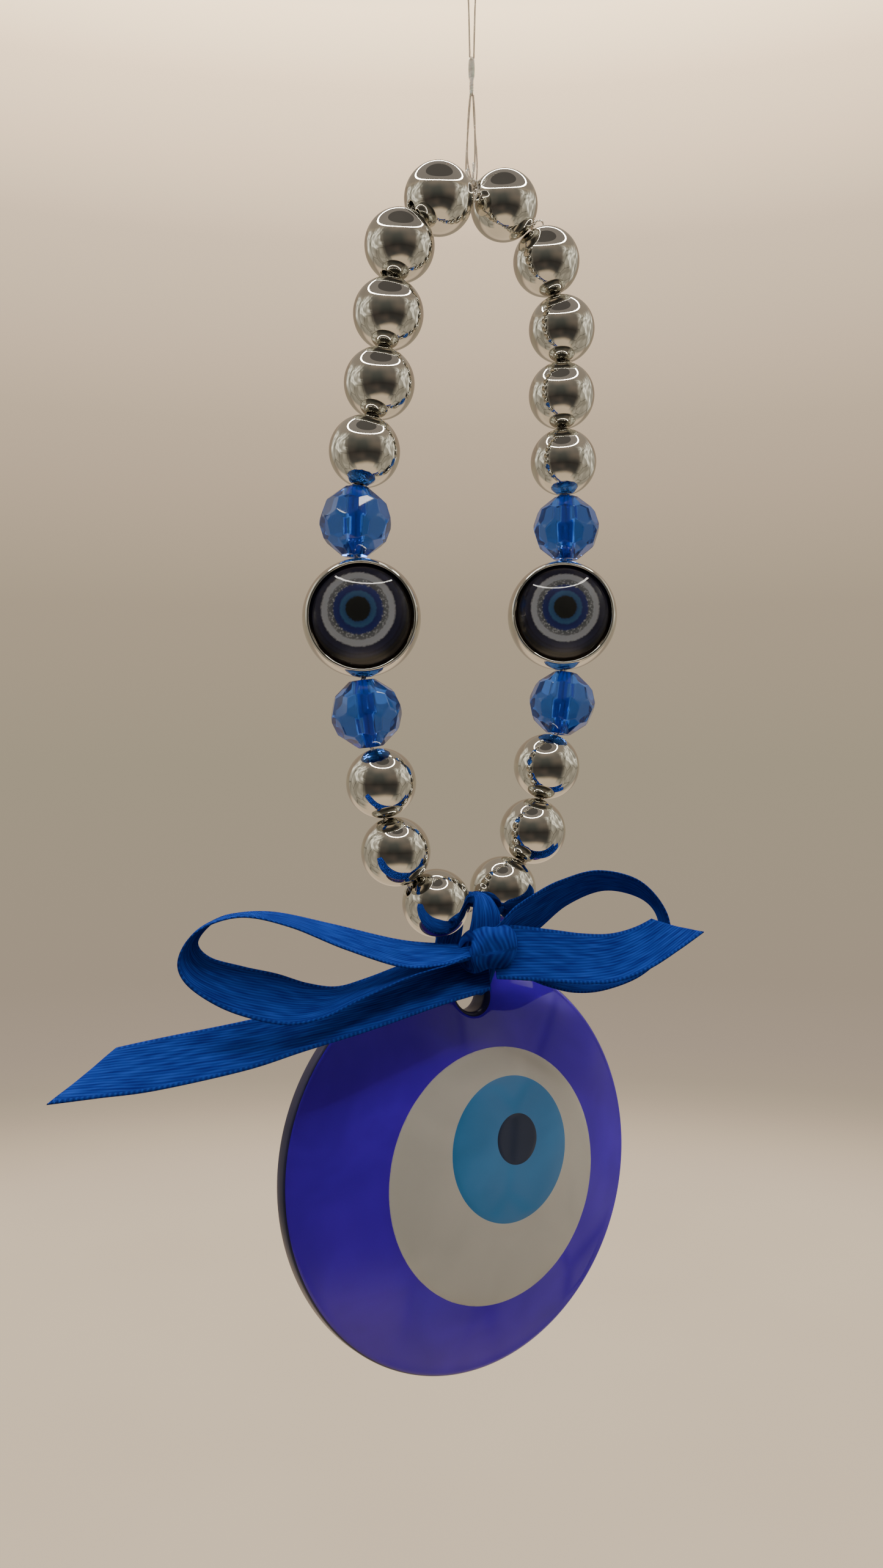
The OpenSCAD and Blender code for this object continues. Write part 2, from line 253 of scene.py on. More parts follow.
def blue_acrylic():
    """Moulded transparent acrylic, dyed blue right through: bright facets, clear edges."""
    made, tree, shader = new_material("blue_acrylic")
    place = add(tree, "ShaderNodeTexCoord").outputs["Object"]
    flow = add(tree, "ShaderNodeTexNoise", Vector=place, Scale=1 / (9 * MM), Detail=1.0)
    dye = ramp(tree, flow.outputs["Fac"], [(0.35, tone("#3a78e6")), (0.65, tone("#4684f0"))])
    tree.links.new(dye, shader.inputs["Base Color"])
    shader.inputs["Transmission Weight"].default_value = 0.9
    shader.inputs["Roughness"].default_value = 0.02
    shader.inputs["IOR"].default_value = 1.49
    return made


def nylon_thread():
    """Nylon monofilament: clear, and it reads as a thin whitish line."""
    made, tree, shader = new_material("nylon_thread")
    place = add(tree, "ShaderNodeTexCoord").outputs["Object"]
    lump = add(tree, "ShaderNodeTexNoise", Vector=place, Scale=1 / (2 * MM), Detail=2.0)
    tint = ramp(tree, lump.outputs["Fac"], [(0.3, tone("#ece6dc")), (0.7, tone("#fffdf8"))])
    tree.links.new(tint, shader.inputs["Base Color"])
    shader.inputs["Transmission Weight"].default_value = 0.92
    shader.inputs["Roughness"].default_value = 0.15
    shader.inputs["IOR"].default_value = 1.2
    return made


def whipping():
    """The same nylon wound tight on itself, which scatters light and looks white."""
    made, tree, shader = new_material("nylon_whipping")
    place = add(tree, "ShaderNodeTexCoord").outputs["Object"]
    lump = add(tree, "ShaderNodeTexNoise", Vector=place, Scale=1 / (0.8 * MM), Detail=2.0)
    tint = ramp(tree, lump.outputs["Fac"], [(0.3, tone("#d9d0c2")), (0.7, tone("#fffaf0"))])
    tree.links.new(tint, shader.inputs["Base Color"])
    shader.inputs["Roughness"].default_value = 0.35
    shader.inputs["Subsurface Weight"].default_value = 0.2
    shader.inputs["Subsurface Scale"].default_value = 0.4 * MM
    return made


def clear_elastic():
    """Clear polyurethane elastic: soft gloss, slightly milky where it is knotted."""
    made, tree, shader = new_material("clear_elastic")
    place = add(tree, "ShaderNodeTexCoord").outputs["Object"]
    milk = add(tree, "ShaderNodeTexNoise", Vector=place, Scale=1 / (1.5 * MM), Detail=2.0)
    tint = ramp(tree, milk.outputs["Fac"], [(0.3, tone("#e6ddd0")), (0.7, tone("#fffdf8"))])
    tree.links.new(tint, shader.inputs["Base Color"])
    shader.inputs["Transmission Weight"].default_value = 0.8
    shader.inputs["Roughness"].default_value = 0.08
    shader.inputs["IOR"].default_value = 1.45
    return made


def satin():
    """Woven polyester satin: fine twill ribs that run slightly across the ribbon's length,
    and a corded selvedge of small beads at each edge. UV is (along, across) in centimetres.
    Real threads are 0.1 mm apart; the ribs are drawn 0.55 mm apart so that they show."""
    made, tree, shader = new_material("satin_ribbon")
    uv = add(tree, "ShaderNodeUVMap", {"uv_map": "cloth"}).outputs["UV"]
    split = add(tree, "ShaderNodeSeparateXYZ", Vector=uv)
    along, across = split.outputs["X"], split.outputs["Y"]

    def maths(operation, a, b=0.0, c=0.0):
        return add(tree, "ShaderNodeMath", {"operation": operation}, i0=a, i1=b, i2=c).outputs[0]

    rib_gap, rib_slope = 0.055, 0.10
    slanted = maths("MULTIPLY_ADD", along, rib_slope, across)
    rib = maths("SINE", maths("MULTIPLY", slanted, 2 * pi / rib_gap))
    bead = maths("SINE", maths("MULTIPLY", along, 2 * pi / 0.08))
    edge = maths("GREATER_THAN", maths("ABSOLUTE", across), 0.445)
    thread = add(tree, "ShaderNodeTexNoise",
                 Vector=add(tree, "ShaderNodeMapping", Vector=uv,
                            Scale=(2.0, 14.0, 1.0)).outputs[0], Scale=1.0,
                            Detail=1.0).outputs["Fac"]
    crease = add(tree, "ShaderNodeTexNoise",
                 Vector=add(tree, "ShaderNodeMapping", Vector=uv,
                            Scale=(1.2, 5.0, 1.0)).outputs[0], Scale=1.0, Detail=2.0).outputs["Fac"]
    weave = maths("MULTIPLY_ADD", rib, 0.3, thread)
    height = add(tree, "ShaderNodeMix", {"data_type": "FLOAT"}, Factor=edge, A=weave,
                 B=maths("MULTIPLY", bead, 1.4)).outputs[0]
    tall = maths("MULTIPLY_ADD", crease, 0.8, height)
    bump = add(tree, "ShaderNodeBump", Height=tall, Strength=0.5, Distance=0.05 * MM)
    tree.links.new(bump.outputs["Normal"], shader.inputs["Normal"])
    woven = maths("MULTIPLY_ADD", rib, 0.15, thread)
    blend = add(tree, "ShaderNodeMix", {"data_type": "FLOAT"}, Factor=edge, A=woven,
                B=maths("MULTIPLY_ADD", bead, 0.18, 0.5)).outputs[0]
    dye = ramp(tree, blend, [(0.2, tone("#1a2884")), (0.5, tone("#2240a4")),
                             (0.8, tone("#2c54c4"))])
    tree.links.new(dye, shader.inputs["Base Color"])
    shader.inputs["Roughness"].default_value = 0.5
    shader.inputs["Specular IOR Level"].default_value = 0.0
    return made


def radial(tree, uv_name="face"):
    """Distance in millimetres from a round face's middle, and its two coordinates; the face's
    UV is in centimetres from the middle."""
    uv = add(tree, "ShaderNodeUVMap", {"uv_map": uv_name}).outputs["UV"]
    length = add(tree, "ShaderNodeVectorMath", {"operation": "LENGTH"}, i0=uv).outputs["Value"]
    return uv, add(tree, "ShaderNodeMath", {"operation": "MULTIPLY"}, i0=length, i1=10.0).outputs[0]


def eye_resin():
    """Cast resin eye, poured in rings: black pupil, light blue, dark blue, a mottled band, a white ring,
    and a navy ground. Its outer edge is painted dark brown as painted shade for the groove where the core
    meets the ring."""
    made, tree, shader = new_material("eye_resin")
    uv, far = radial(tree, "cloth")
    fine = add(tree, "ShaderNodeTexNoise", Vector=uv, Scale=22.0, Detail=3.0).outputs["Fac"]
    shake = add(tree, "ShaderNodeMath", {"operation": "MULTIPLY_ADD"}, i0=fine, i1=0.5,
                i2=-0.25).outputs[0]
    at = add(tree, "ShaderNodeMath", {"operation": "ADD"}, i0=far, i1=shake).outputs[0]
    tenth = add(tree, "ShaderNodeMath", {"operation": "MULTIPLY"}, i0=at, i1=0.1).outputs[0]
    rings = ramp(
        tree,
        tenth,
        [
            (0.0, tone("#0f100e")), (0.185, tone("#121310")), (0.21, tone("#36649c")),
            (0.275, tone("#3e70a8")), (0.305, tone("#1c2a78")), (0.39, tone("#26368a")),
            (0.41, tone("#6a707a")), (0.48, tone("#868a92")), (0.50, tone("#d4dae4")),
            (0.585, tone("#dce0e8")), (0.615, tone("#23244a")), (0.70, tone("#2c2c52")),
            (0.72, tone("#1c1c3c")), (0.76, tone("#2a2a48")), (0.79, tone("#1a1a34")),
            # From 0.82 outwards the dark brown stops are painted shade for the groove between the core
            # and the ring.
            (0.82, tone("#2c2420")), (0.85, tone("#1c140f")), (0.88, tone("#3a2c20")),
            (1.0, tone("#1a120c")),
        ],
    )
    speck = add(tree, "ShaderNodeTexVoronoi", {"feature": "F1"}, Vector=uv,
                Scale=26.0).outputs["Distance"]
    inside = ramp(tree, tenth, [(0.38, (0, 0, 0, 1)), (0.40, (1, 1, 1, 1)), (0.47, (1, 1, 1, 1)),
                                (0.49, (0, 0, 0, 1))])
    spots = ramp(tree, speck, [(0.2, (1, 1, 1, 1)), (0.55, (0, 0, 0, 1))])
    both = add(tree, "ShaderNodeMix", {"data_type": "RGBA", "blend_type": "MULTIPLY"}, Factor=1.0,
               A=inside, B=spots)
    mixed = add(tree, "ShaderNodeMix", {"data_type": "RGBA"}, A=rings, B=tone("#ccd0d8"))
    tree.links.new(both.outputs["Result"], mixed.inputs["Factor"])
    tree.links.new(mixed.outputs["Result"], shader.inputs["Base Color"])
    shader.inputs["Roughness"].default_value = 0.3
    return made


def clear_resin():
    """Clear casting resin, self-levelled into a dome: glassy, with no colour."""
    made, tree, shader = new_material("clear_resin")
    place = add(tree, "ShaderNodeTexCoord").outputs["Object"]
    swirl = add(tree, "ShaderNodeTexNoise", Vector=place, Scale=1 / (5 * MM), Detail=1.0)
    bump = add(tree, "ShaderNodeBump", Height=swirl.outputs["Fac"], Strength=0.04,
               Distance=0.05 * MM)
    tree.links.new(bump.outputs["Normal"], shader.inputs["Normal"])
    tint = ramp(tree, swirl.outputs["Fac"], [(0.3, tone("#f6f7fa")), (0.7, tone("#ffffff"))])
    tree.links.new(tint, shader.inputs["Base Color"])
    shader.inputs["Transmission Weight"].default_value = 1.0
    shader.inputs["Roughness"].default_value = 0.01
    shader.inputs["IOR"].default_value = 1.5
    return made


def glass(name, dark, light, ripple=0.05, roughness=0.06, specular=0.5, extra=None):
    """Fire-polished soda glass, pressed and poured: its colour drifts a little through the
    pour, and its gloss ripples over about 8 mm. extra(tree, colour) may change the colour."""
    made, tree, shader = new_material(name)
    place = add(tree, "ShaderNodeTexCoord").outputs["Object"]
    pour = add(tree, "ShaderNodeTexNoise", Vector=place, Scale=1 / (14 * MM), Detail=2.0,
               Distortion=0.6)
    colour = ramp(tree, pour.outputs["Fac"], [(0.3, tone(dark)), (0.7, tone(light))])
    if extra:
        colour = extra(tree, colour)
    tree.links.new(colour, shader.inputs["Base Color"])
    wave = add(tree, "ShaderNodeTexNoise", Vector=place, Scale=1 / (8 * MM), Detail=1.0)
    bump = add(tree, "ShaderNodeBump", Height=wave.outputs["Fac"], Strength=ripple,
               Distance=0.2 * MM)
    tree.links.new(bump.outputs["Normal"], shader.inputs["Normal"])
    shader.inputs["Roughness"].default_value = roughness
    shader.inputs["Specular IOR Level"].default_value = specular
    shader.inputs["IOR"].default_value = 1.52
    return made


def soft_edge(radius, fade, outside):
    """Colour change for a poured layer: its last fade millimetres blend into the glass round
    it, because the two melts run into each other."""

    def change(tree, colour):
        uv, far = radial(tree, "cloth")
        rag = add(tree, "ShaderNodeTexNoise", Vector=uv, Scale=9.0, Detail=3.0).outputs["Fac"]
        shake = add(tree, "ShaderNodeMath", {"operation": "MULTIPLY_ADD"}, i0=rag, i1=0.6,
                    i2=far).outputs[0]
        share = add(tree, "ShaderNodeMapRange", {"interpolation_type": "SMOOTHSTEP"}, Value=shake)
        share.inputs["From Min"].default_value = radius - fade + 0.3
        share.inputs["From Max"].default_value = radius + 0.3
        mixed = add(tree, "ShaderNodeMix", {"data_type": "RGBA"}, Factor=share.outputs["Result"],
                    A=colour, B=tone(outside))
        return mixed.outputs["Result"]

    return change


silver = silvered_plastic()
acrylic = blue_acrylic()
nylon = nylon_thread()
wound_nylon = whipping()
elastic = clear_elastic()
ribbon_satin = satin()
resin = eye_resin()
dome_resin = clear_resin()


# ---- cords: hanging thread ----

THREAD_D = 0.3
STRING_D = 0.6
loop_route = [
    (-0.4, 0, -24.1), (-0.5, 0, -20), (-0.7, 0, -14), (-1.2, 0, -9), (-2.2, 0, -5),
    (-2.4, 0, -2.6), (-1.4, 0, -0.7), (0, 0, -0.15), (1.4, 0, -0.7), (2.4, 0, -2.6),
    (2.2, 0, -5), (1.2, 0, -9), (0.7, 0, -14), (0.5, 0, -20), (0.4, 0, -24.1),
]
strand_route = [
    (-0.3, 0, -30.5), (-0.8, -0.2, -35), (-1.2, -0.6, -42), (-0.6, -0.9, -45.8),
    (-0.2, -0.5, -47.5), (-0.2, 0.5, -47.5), (-0.5, 0.9, -45.8), (-0.8, 0.6, -42),
    (-0.5, 0.2, -35), (-0.2, 0.1, -31), (0, 0, -30.5), (0.2, -0.1, -31), (0.3, -0.3, -35),
    (0.6, -0.8, -42), (0.4, -1, -45.4), (0.15, -0.5, -47.35), (0.15, 0.5, -47.35),
    (0.5, 1, -45.4), (0.9, 0.6, -42), (0.7, 0.2, -35), (0.3, 0, -30.5),
]
thread_loop = curve_cord("thread_loop", smooth_rows(loop_route, 8), THREAD_D, nylon, "root")
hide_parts("hanging_loop")
thread_strands = curve_cord("thread_strands", smooth_rows(strand_route, 6), THREAD_D, nylon,
                            "string")
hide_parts("hanging_thread")


def wound_barrel(top, bottom, radius, wire, pitch):
    """A wire coiled about Z: a helix whose radius swells in the middle and dips at each end."""
    turns = (top - bottom) / pitch
    s = np.linspace(0, 1, int(turns * 20) + 1)
    turn = 2 * pi * turns * s
    swell = radius * (0.8 + 0.2 * np.sin(pi * s) ** 0.5)
    path = np.stack([swell * np.cos(turn), swell * np.sin(turn) + 0.1,
                     bottom + (top - bottom) * s], -1)
    return tube(path, wire / 2, 7, up=(0, 0, 1))


core_path = np.stack([np.zeros(9), np.full(9, 0.1), np.linspace(-24, -30.6, 9)], -1)
knot_points, knot_faces = joined([
    wound_barrel(-24.4, -27.6, 0.46, 0.24, 0.21),
    wound_barrel(-28.0, -30.2, 0.3, 0.2, 0.5),
    tube(core_path, [0.3, 0.42, 0.5, 0.5, 0.45, 0.33, 0.3, 0.3, 0.3], 16),
])
whipped_knot = mesh_piece("thread_whipping", knot_points, knot_faces, wound_nylon, "knot")
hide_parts("thread_knot")


# ---- bead places, from the frame ----

KINDS = "SSSSSFEFSSS"
BEAD_R, EYE_R, BORE_R = 6.0, 10.0, 1.2
silver_ids = {-1: [1, 2, 3, 4, 5, 6, 7, 8], 1: [9, 10, 11, 12, 13, 14, 15, 16]}
faceted_ids = {-1: [1, 2], 1: [3, 4]}
eye_names = {-1: "left", 1: "right"}


def middle(node):
    """Middle of a CAD node's box, in millimetres."""
    low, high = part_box(node)
    return (np.array(low) + np.array(high)) / 2 / MM


def side_beads(side):
    """The beads down one side, top to bottom: dicts of kind, node, centre, radius, heading."""
    counts, beads = {"S": 0, "F": 0, "E": 0}, []
    for kind in KINDS:
        k = counts[kind]
        counts[kind] += 1
        node = {"S": f"silver_bead_{silver_ids[side][k % 8]:02d}",
                "F": f"faceted_bead_{faceted_ids[side][k % 2]:02d}",
                "E": f"eye_core_{eye_names[side]}"}[kind]
        beads.append({"kind": kind, "node": node, "centre": middle(node),
                      "radius": EYE_R if kind == "E" else BEAD_R})
    for k, bead in enumerate(beads):
        steps = []
        for a, b, end in ((k - 1, k, 90.0), (k, k + 1, -90.0)):
            if a < 0 or b >= len(beads):
                steps.append(end)
            else:
                gap = beads[b]["centre"] - beads[a]["centre"]
                steps.append(degrees(atan2(side * gap[0], -gap[2])))
        heading = radians(sum(steps) / 2)
        bead["down"] = np.array([side * sin(heading), 0, -cos(heading)])
    return beads


left_beads, right_beads = side_beads(-1), side_beads(1)


# ---- cord: elastic ----


def threading(beads):
    """Where the elastic runs down a side: in and out of each bore, and between the beads."""
    points = []
    for k, bead in enumerate(beads):
        reach = (bead["radius"] - 1.6) * bead["down"]
        points += [bead["centre"] - reach, bead["centre"] + reach]
        if k + 1 < len(beads):
            after = beads[k + 1]
            points.append((bead["centre"] + bead["radius"] * bead["down"]
                           + after["centre"] - after["radius"] * after["down"]) / 2)
    return points


def outside_of(bead, way):
    """Point on a bead's surface at its bore, up (-1) or down (1) the string."""
    return bead["centre"] + way * bead["radius"] * bead["down"]


top_cross = (outside_of(left_beads[0], -1) + outside_of(right_beads[0], -1)) / 2
elastic_route = ([top_cross + (-0.5, 0, 0)] + threading(left_beads)
                 + threading(right_beads)[::-1] + [top_cross + (0.5, 0, 0)])
bead_elastic = curve_cord("bead_elastic", smooth_rows(elastic_route, 6), STRING_D, elastic,
                          "string")
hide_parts("bead_string")


def overhand(centre, size, wire):
    """A trefoil: (sin t + 2 sin 2t, cos t - 2 cos 2t, -sin 3t), the shape of a tight knot."""
    t = np.linspace(0, 2 * pi, 72, endpoint=False)
    path = np.stack([np.sin(t) + 2 * np.sin(2 * t), -0.8 * np.sin(3 * t),
                     np.cos(t) - 2 * np.cos(2 * t)], -1)
    return tube(path * size / 3 + np.asarray(centre), wire / 2, 8, closed=True)


def curl(route, wire):
    """A short bare end of elastic along a smooth route."""
    return tube(smooth_rows(route, 6), wire / 2, 8)


tc = top_cross
knot_points, knot_faces = joined([
    overhand(tc + (0.3, -0.3, 0.9), 0.62, 0.42),
    curl([tc + (0.2, -0.3, 0.8), tc + (0.1, -0.5, 2.0), tc + (0.25, -0.4, 3.2),
          tc + (0.2, -0.3, 4.3)], 0.42),
    curl([tc + (-0.2, -0.3, 0.9), tc + (-0.8, -0.5, 1.6), tc + (-1.1, -0.4, 2.5),
          tc + (-0.7, -0.3, 3.0), tc + (-0.4, -0.2, 2.4)], 0.36),
    curl([tc + (0.6, -0.3, 0.8), tc + (1.5, -0.6, 1.5), tc + (2.2, -0.5, 1.5),
          tc + (2.3, -0.3, 0.8), tc + (1.6, -0.2, 0.3)], 0.36),
    curl([tc + (0.9, -0.5, 0.8), tc + (0.7, -1.2, -0.4), tc + (0.3, -1.3, -1.8),
          tc + (0.1, -1.0, -2.9)], 0.36),
])
elastic_knot = mesh_piece("elastic_knot", knot_points, knot_faces, elastic, "string")
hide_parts("string_knot")
second = (outside_of(right_beads[0], 1) + outside_of(right_beads[1], -1)) / 2
knot_points, knot_faces = joined([
    overhand(second + (0.1, -0.5, 0.5), 0.5, 0.36),
    curl([second + (0, -0.4, 0.4), second + (0.7, -0.9, 0.9), second + (1.6, -1.0, 1.0),
          second + (2.0, -0.9, 0.4), second + (1.5, -0.8, -0.2)], 0.32),
])
second_knot = mesh_piece("elastic_second_knot", knot_points, knot_faces, elastic, "string")


# ---- beads ----


def seated(points, bead):
    """Local points, whose Z axis is the bore, put at a bead: local Z points up the string."""
    up = -bead["down"]
    right = np.array([up[2], 0, -up[0]])
    return bead["centre"] + points[..., :1] * right + points[...,
            1:2] * np.array([0, 1, 0]) + points[..., 2:] * up


def silver_profile():
    """Half outline of a ball with a bore: the ball's arc, then a rounded lip that rolls over
    the ball's edge into the bore wall, mirrored at the other end. The film narrows the bore
    by 0.3 mm."""
    lip, bore = 0.35, BORE_R - 0.3
    edge = np.arcsin((bore + lip) / (BEAD_R - lip))
    arc = np.linspace(edge, pi - edge, 73)
    ball = np.stack([BEAD_R * np.sin(arc), BEAD_R * np.cos(arc)], -1)
    centre_z = (BEAD_R - lip) * cos(edge)
    roll = np.linspace(pi, pi / 2 - edge, 9)[:-1]
    top = np.stack([bore + lip + lip * np.cos(roll), centre_z + lip * np.sin(roll)], -1)
    bottom = top[::-1] * (1, -1)
    wall = np.stack([np.full(9, bore), np.linspace(-centre_z, centre_z, 11)[1:-1]], -1)
    return np.concatenate([ball, bottom, wall, top])[::-1]


silver_shape = turned(silver_profile(), 96)


def copied_facets(node, body):
    """A faceted bead: a copy of its CAD mesh, merged, its flats made single faces, with
    narrow rounded arrises between them as moulded acrylic has."""
    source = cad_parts[node]
    mesh = source.data.copy()
    work = bmesh.new()
    work.from_mesh(mesh)
    bmesh.ops.remove_doubles(work, verts=work.verts, dist=1e-6)
    bmesh.ops.dissolve_limit(work, angle_limit=radians(1), verts=work.verts, edges=work.edges)
    work.to_mesh(mesh)
    work.free()
    mesh.materials.clear()
    mesh.materials.append(acrylic)
    mesh.polygons.foreach_set("use_smooth", [False] * len(mesh.polygons))
    piece = bpy.data.objects.new(node.replace("bead", "crystal"), mesh)
    bpy.context.scene.collection.objects.link(piece)
    bevel = piece.modifiers.new("arris", "BEVEL")
    bevel.width = 0.1 * MM
    bevel.segments = 2
    bevel.limit_method = "ANGLE"
    bevel.angle_limit = radians(12)
    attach(piece, body)
    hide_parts(node)


RIM_R = sqrt(EYE_R**2 - 16)
SEAT_R = RIM_R - 0.5
CORE_FACE = 3.3
DOME_H = 2.4
DOME_EDGE_R = SEAT_R - 0.4


EYE_SPIN = {-1: radians(23), 1: radians(29)}  # turn of each eye bead on the string, to -X
PATTERN_AT = {-1: (-0.5, 1.1), 1: (0.3, 1.0)}  # the poured eye's middle, a little off centre


def eye_axes(points, side):
    """Turns a profile made about Z so that its Z points to the front, -Y, then spins it
    round the string by the bead's own turn."""
    x, y, z = points[..., 0], -points[..., 2], points[..., 1]
    c, s = cos(EYE_SPIN[side]), -sin(EYE_SPIN[side])
    return np.stack([x * c - y * s, x * s + y * c, z], -1)


def ring_profile():
    """Outline of the ring: the ball's arc between two flat faces, rims rounded, and a
    straight seat inside."""
    half = np.arcsin(3.75 / EYE_R)
    arc = np.linspace(-half, half, 33)
    outer = np.stack([EYE_R * np.cos(arc), EYE_R * np.sin(arc)], -1)
    bend = np.linspace(0.35, pi, 9)[1:]
    rim = np.stack([8.93 + 0.26 * np.cos(bend), 3.74 + 0.26 * np.sin(bend)], -1)
    seat = np.stack([np.full(7, SEAT_R), np.linspace(3.4, -3.4, 7)], -1)
    low = (rim * (1, -1))[::-1]
    return np.concatenate([outer, rim, seat, low])


def core_profile():
    """Outline of the resin core: a flat cylinder with softened edges and a closed middle."""
    r = SEAT_R - 0.05
    return [(0.0, CORE_FACE), (3.0, CORE_FACE), (6.0, CORE_FACE), (r - 0.55, CORE_FACE),
            (r - 0.4, CORE_FACE - 0.05),
            (r - 0.3, CORE_FACE - 0.35), (r, CORE_FACE - 0.5), (r, -CORE_FACE + 0.5),
            (r - 0.3, -CORE_FACE + 0.35),
            (r - 0.4, -CORE_FACE + 0.05), (r - 0.55, -CORE_FACE), (6.0, -CORE_FACE),
            (3.0, -CORE_FACE), (0.0, -CORE_FACE)]


def closed_faces(steps, n):
    """Faces of a grid turned in steps columns of n points, shut at both ends by a fan to a
    pole. The poles are the two points after the grid."""
    faces = [tuple(f) for f in grid_faces(steps, n, True, False).tolist()]
    i = np.arange(steps)
    after = (i + 1) % steps
    first, last = np.full(steps, steps * n), np.full(steps, steps * n + 1)
    for fan in ((i * n, after * n, first), (i * n + n - 1, last, after * n + n - 1)):
        faces += [tuple(f) for f in np.stack(fan, -1)[:, ::-1].tolist()]
    return faces


def capped(profile, steps):
    """A profile that starts and ends on the axis, turned, with one point at each pole."""
    profile = np.asarray(profile, float)
    ring_points, _ = turned(profile[1:-1], steps, False)
    n = len(profile) - 2
    points = np.concatenate([ring_points.reshape(-1, 3),
                             [(0, 0, profile[0, 1]), (0, 0, profile[-1, 1])]])
    return points, closed_faces(steps, n)


def dome_profile():
    """Outline of a clear dome: a spherical cap that meets the core at a small angle, on a
    base that is sunk a little into the core so that no air is between them."""
    radius = (DOME_EDGE_R**2 + DOME_H**2) / (2 * DOME_H)
    angle = np.linspace(0, np.arcsin(DOME_EDGE_R / radius), 40)
    cap = np.stack([radius * np.sin(angle), CORE_FACE + DOME_H - radius + radius * np.cos(angle)],
                   -1)
    return np.concatenate([cap, [(DOME_EDGE_R - 0.05, CORE_FACE - 0.04),
                                 (DOME_EDGE_R / 2, CORE_FACE - 0.04), (0, CORE_FACE - 0.04)]])


def eye_bead(bead, side):
    """One eye bead: silvered ring, resin core with its printed eye, and two clear domes."""
    name, body = eye_names[side], f"eye_bead_{eye_names[side]}"
    points, faces = turned(ring_profile(), 160)
    ring = mesh_piece(f"eye_bezel_{name}", seated(eye_axes(points, side), bead), faces, silver,
                      body)
    cutter_points, cutter_faces = capped([(0, 12.0), (BORE_R, 12.0), (BORE_R, -12.0), (0, -12.0)],
                                         32)
    cutter = mesh_piece(f"bore_cutter_{name}", seated(cutter_points, bead), cutter_faces, silver,
                        None)
    fix_normals(ring), fix_normals(cutter)
    cut = ring.modifiers.new("bore", "BOOLEAN")
    cut.object, cut.operation, cut.solver = cutter, "DIFFERENCE", "EXACT"
    graph = bpy.context.evaluated_depsgraph_get()
    done = bpy.data.meshes.new_from_object(ring.evaluated_get(graph))
    ring.modifiers.clear()
    ring.data = done
    bpy.data.objects.remove(cutter)
    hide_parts(f"eye_ring_{name}")

    points, faces = capped(core_profile(), 96)
    core = mesh_piece(f"eye_resin_{name}", seated(eye_axes(points, side), bead), faces, resin,
                      body, uv=(points[:, :2] - PATTERN_AT[side]) / 10)
    fix_normals(core)
    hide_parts(f"eye_core_{name}")
    points, faces = capped(dome_profile(), 96)
    for way, face in ((1, "front"), (-1, "back")):
        dome = mesh_piece(f"eye_lens_{face}_{name}",
                          seated(eye_axes(points * (1, 1, way), side), bead), faces, dome_resin,
                          body)
        fix_normals(dome)
        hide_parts(f"eye_dome_{face}_{name}")


def fix_normals(piece):
    """Recalculates a closed mesh's faces so that they point outwards."""
    work = bmesh.new()
    work.from_mesh(piece.data)
    bmesh.ops.recalc_face_normals(work, faces=work.faces)
    work.to_mesh(piece.data)
    work.free()


for side, beads in ((-1, left_beads), (1, right_beads)):
    for bead in beads:
        if bead["kind"] == "S":
            points, faces = silver_shape
            ball = mesh_piece(bead["node"].replace("bead", "ball"), seated(points, bead), faces,
                              silver, bead["node"])
            fix_normals(ball)
            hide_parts(bead["node"])
        elif bead["kind"] == "F":
            copied_facets(bead["node"], bead["node"])
        else:
            eye_bead(bead, side)


# ---- glass eye ----

GLASS_R, EDGE_T, DOME = 36.0, 3.0, 5.0
GLASS_AT = np.array([-0.5, 0, -HANG_H - 168.6])
GLASS_LEAN, GLASS_TURN = radians(-6), radians(6)
HOLE_AT, HOLE_R = np.array([1.7, 29.5]), 3.2
SPHERE_R = (GLASS_R**2 + DOME**2) / (2 * DOME)


def glass_placed(points):
    """Local glass coordinates leaned about X, then turned about Z, then hung in place."""
    x, y, z = points[..., 0], points[..., 1], points[..., 2]
    y, z = y * cos(GLASS_LEAN) - z * sin(GLASS_LEAN), y * sin(GLASS_LEAN) + z * cos(GLASS_LEAN)
    x, y = x * cos(GLASS_TURN) - y * sin(GLASS_TURN), x * sin(GLASS_TURN) + y * cos(GLASS_TURN)
    return np.stack([x, y, z], -1) + GLASS_AT


def dome_front(x, z):
    """Depth of the domed face: a sphere through the edge at 0 and DOME forwards in the middle."""
    return -(np.sqrt(np.maximum(SPHERE_R**2 - x**2 - z**2, 0)) - (SPHERE_R - DOME))


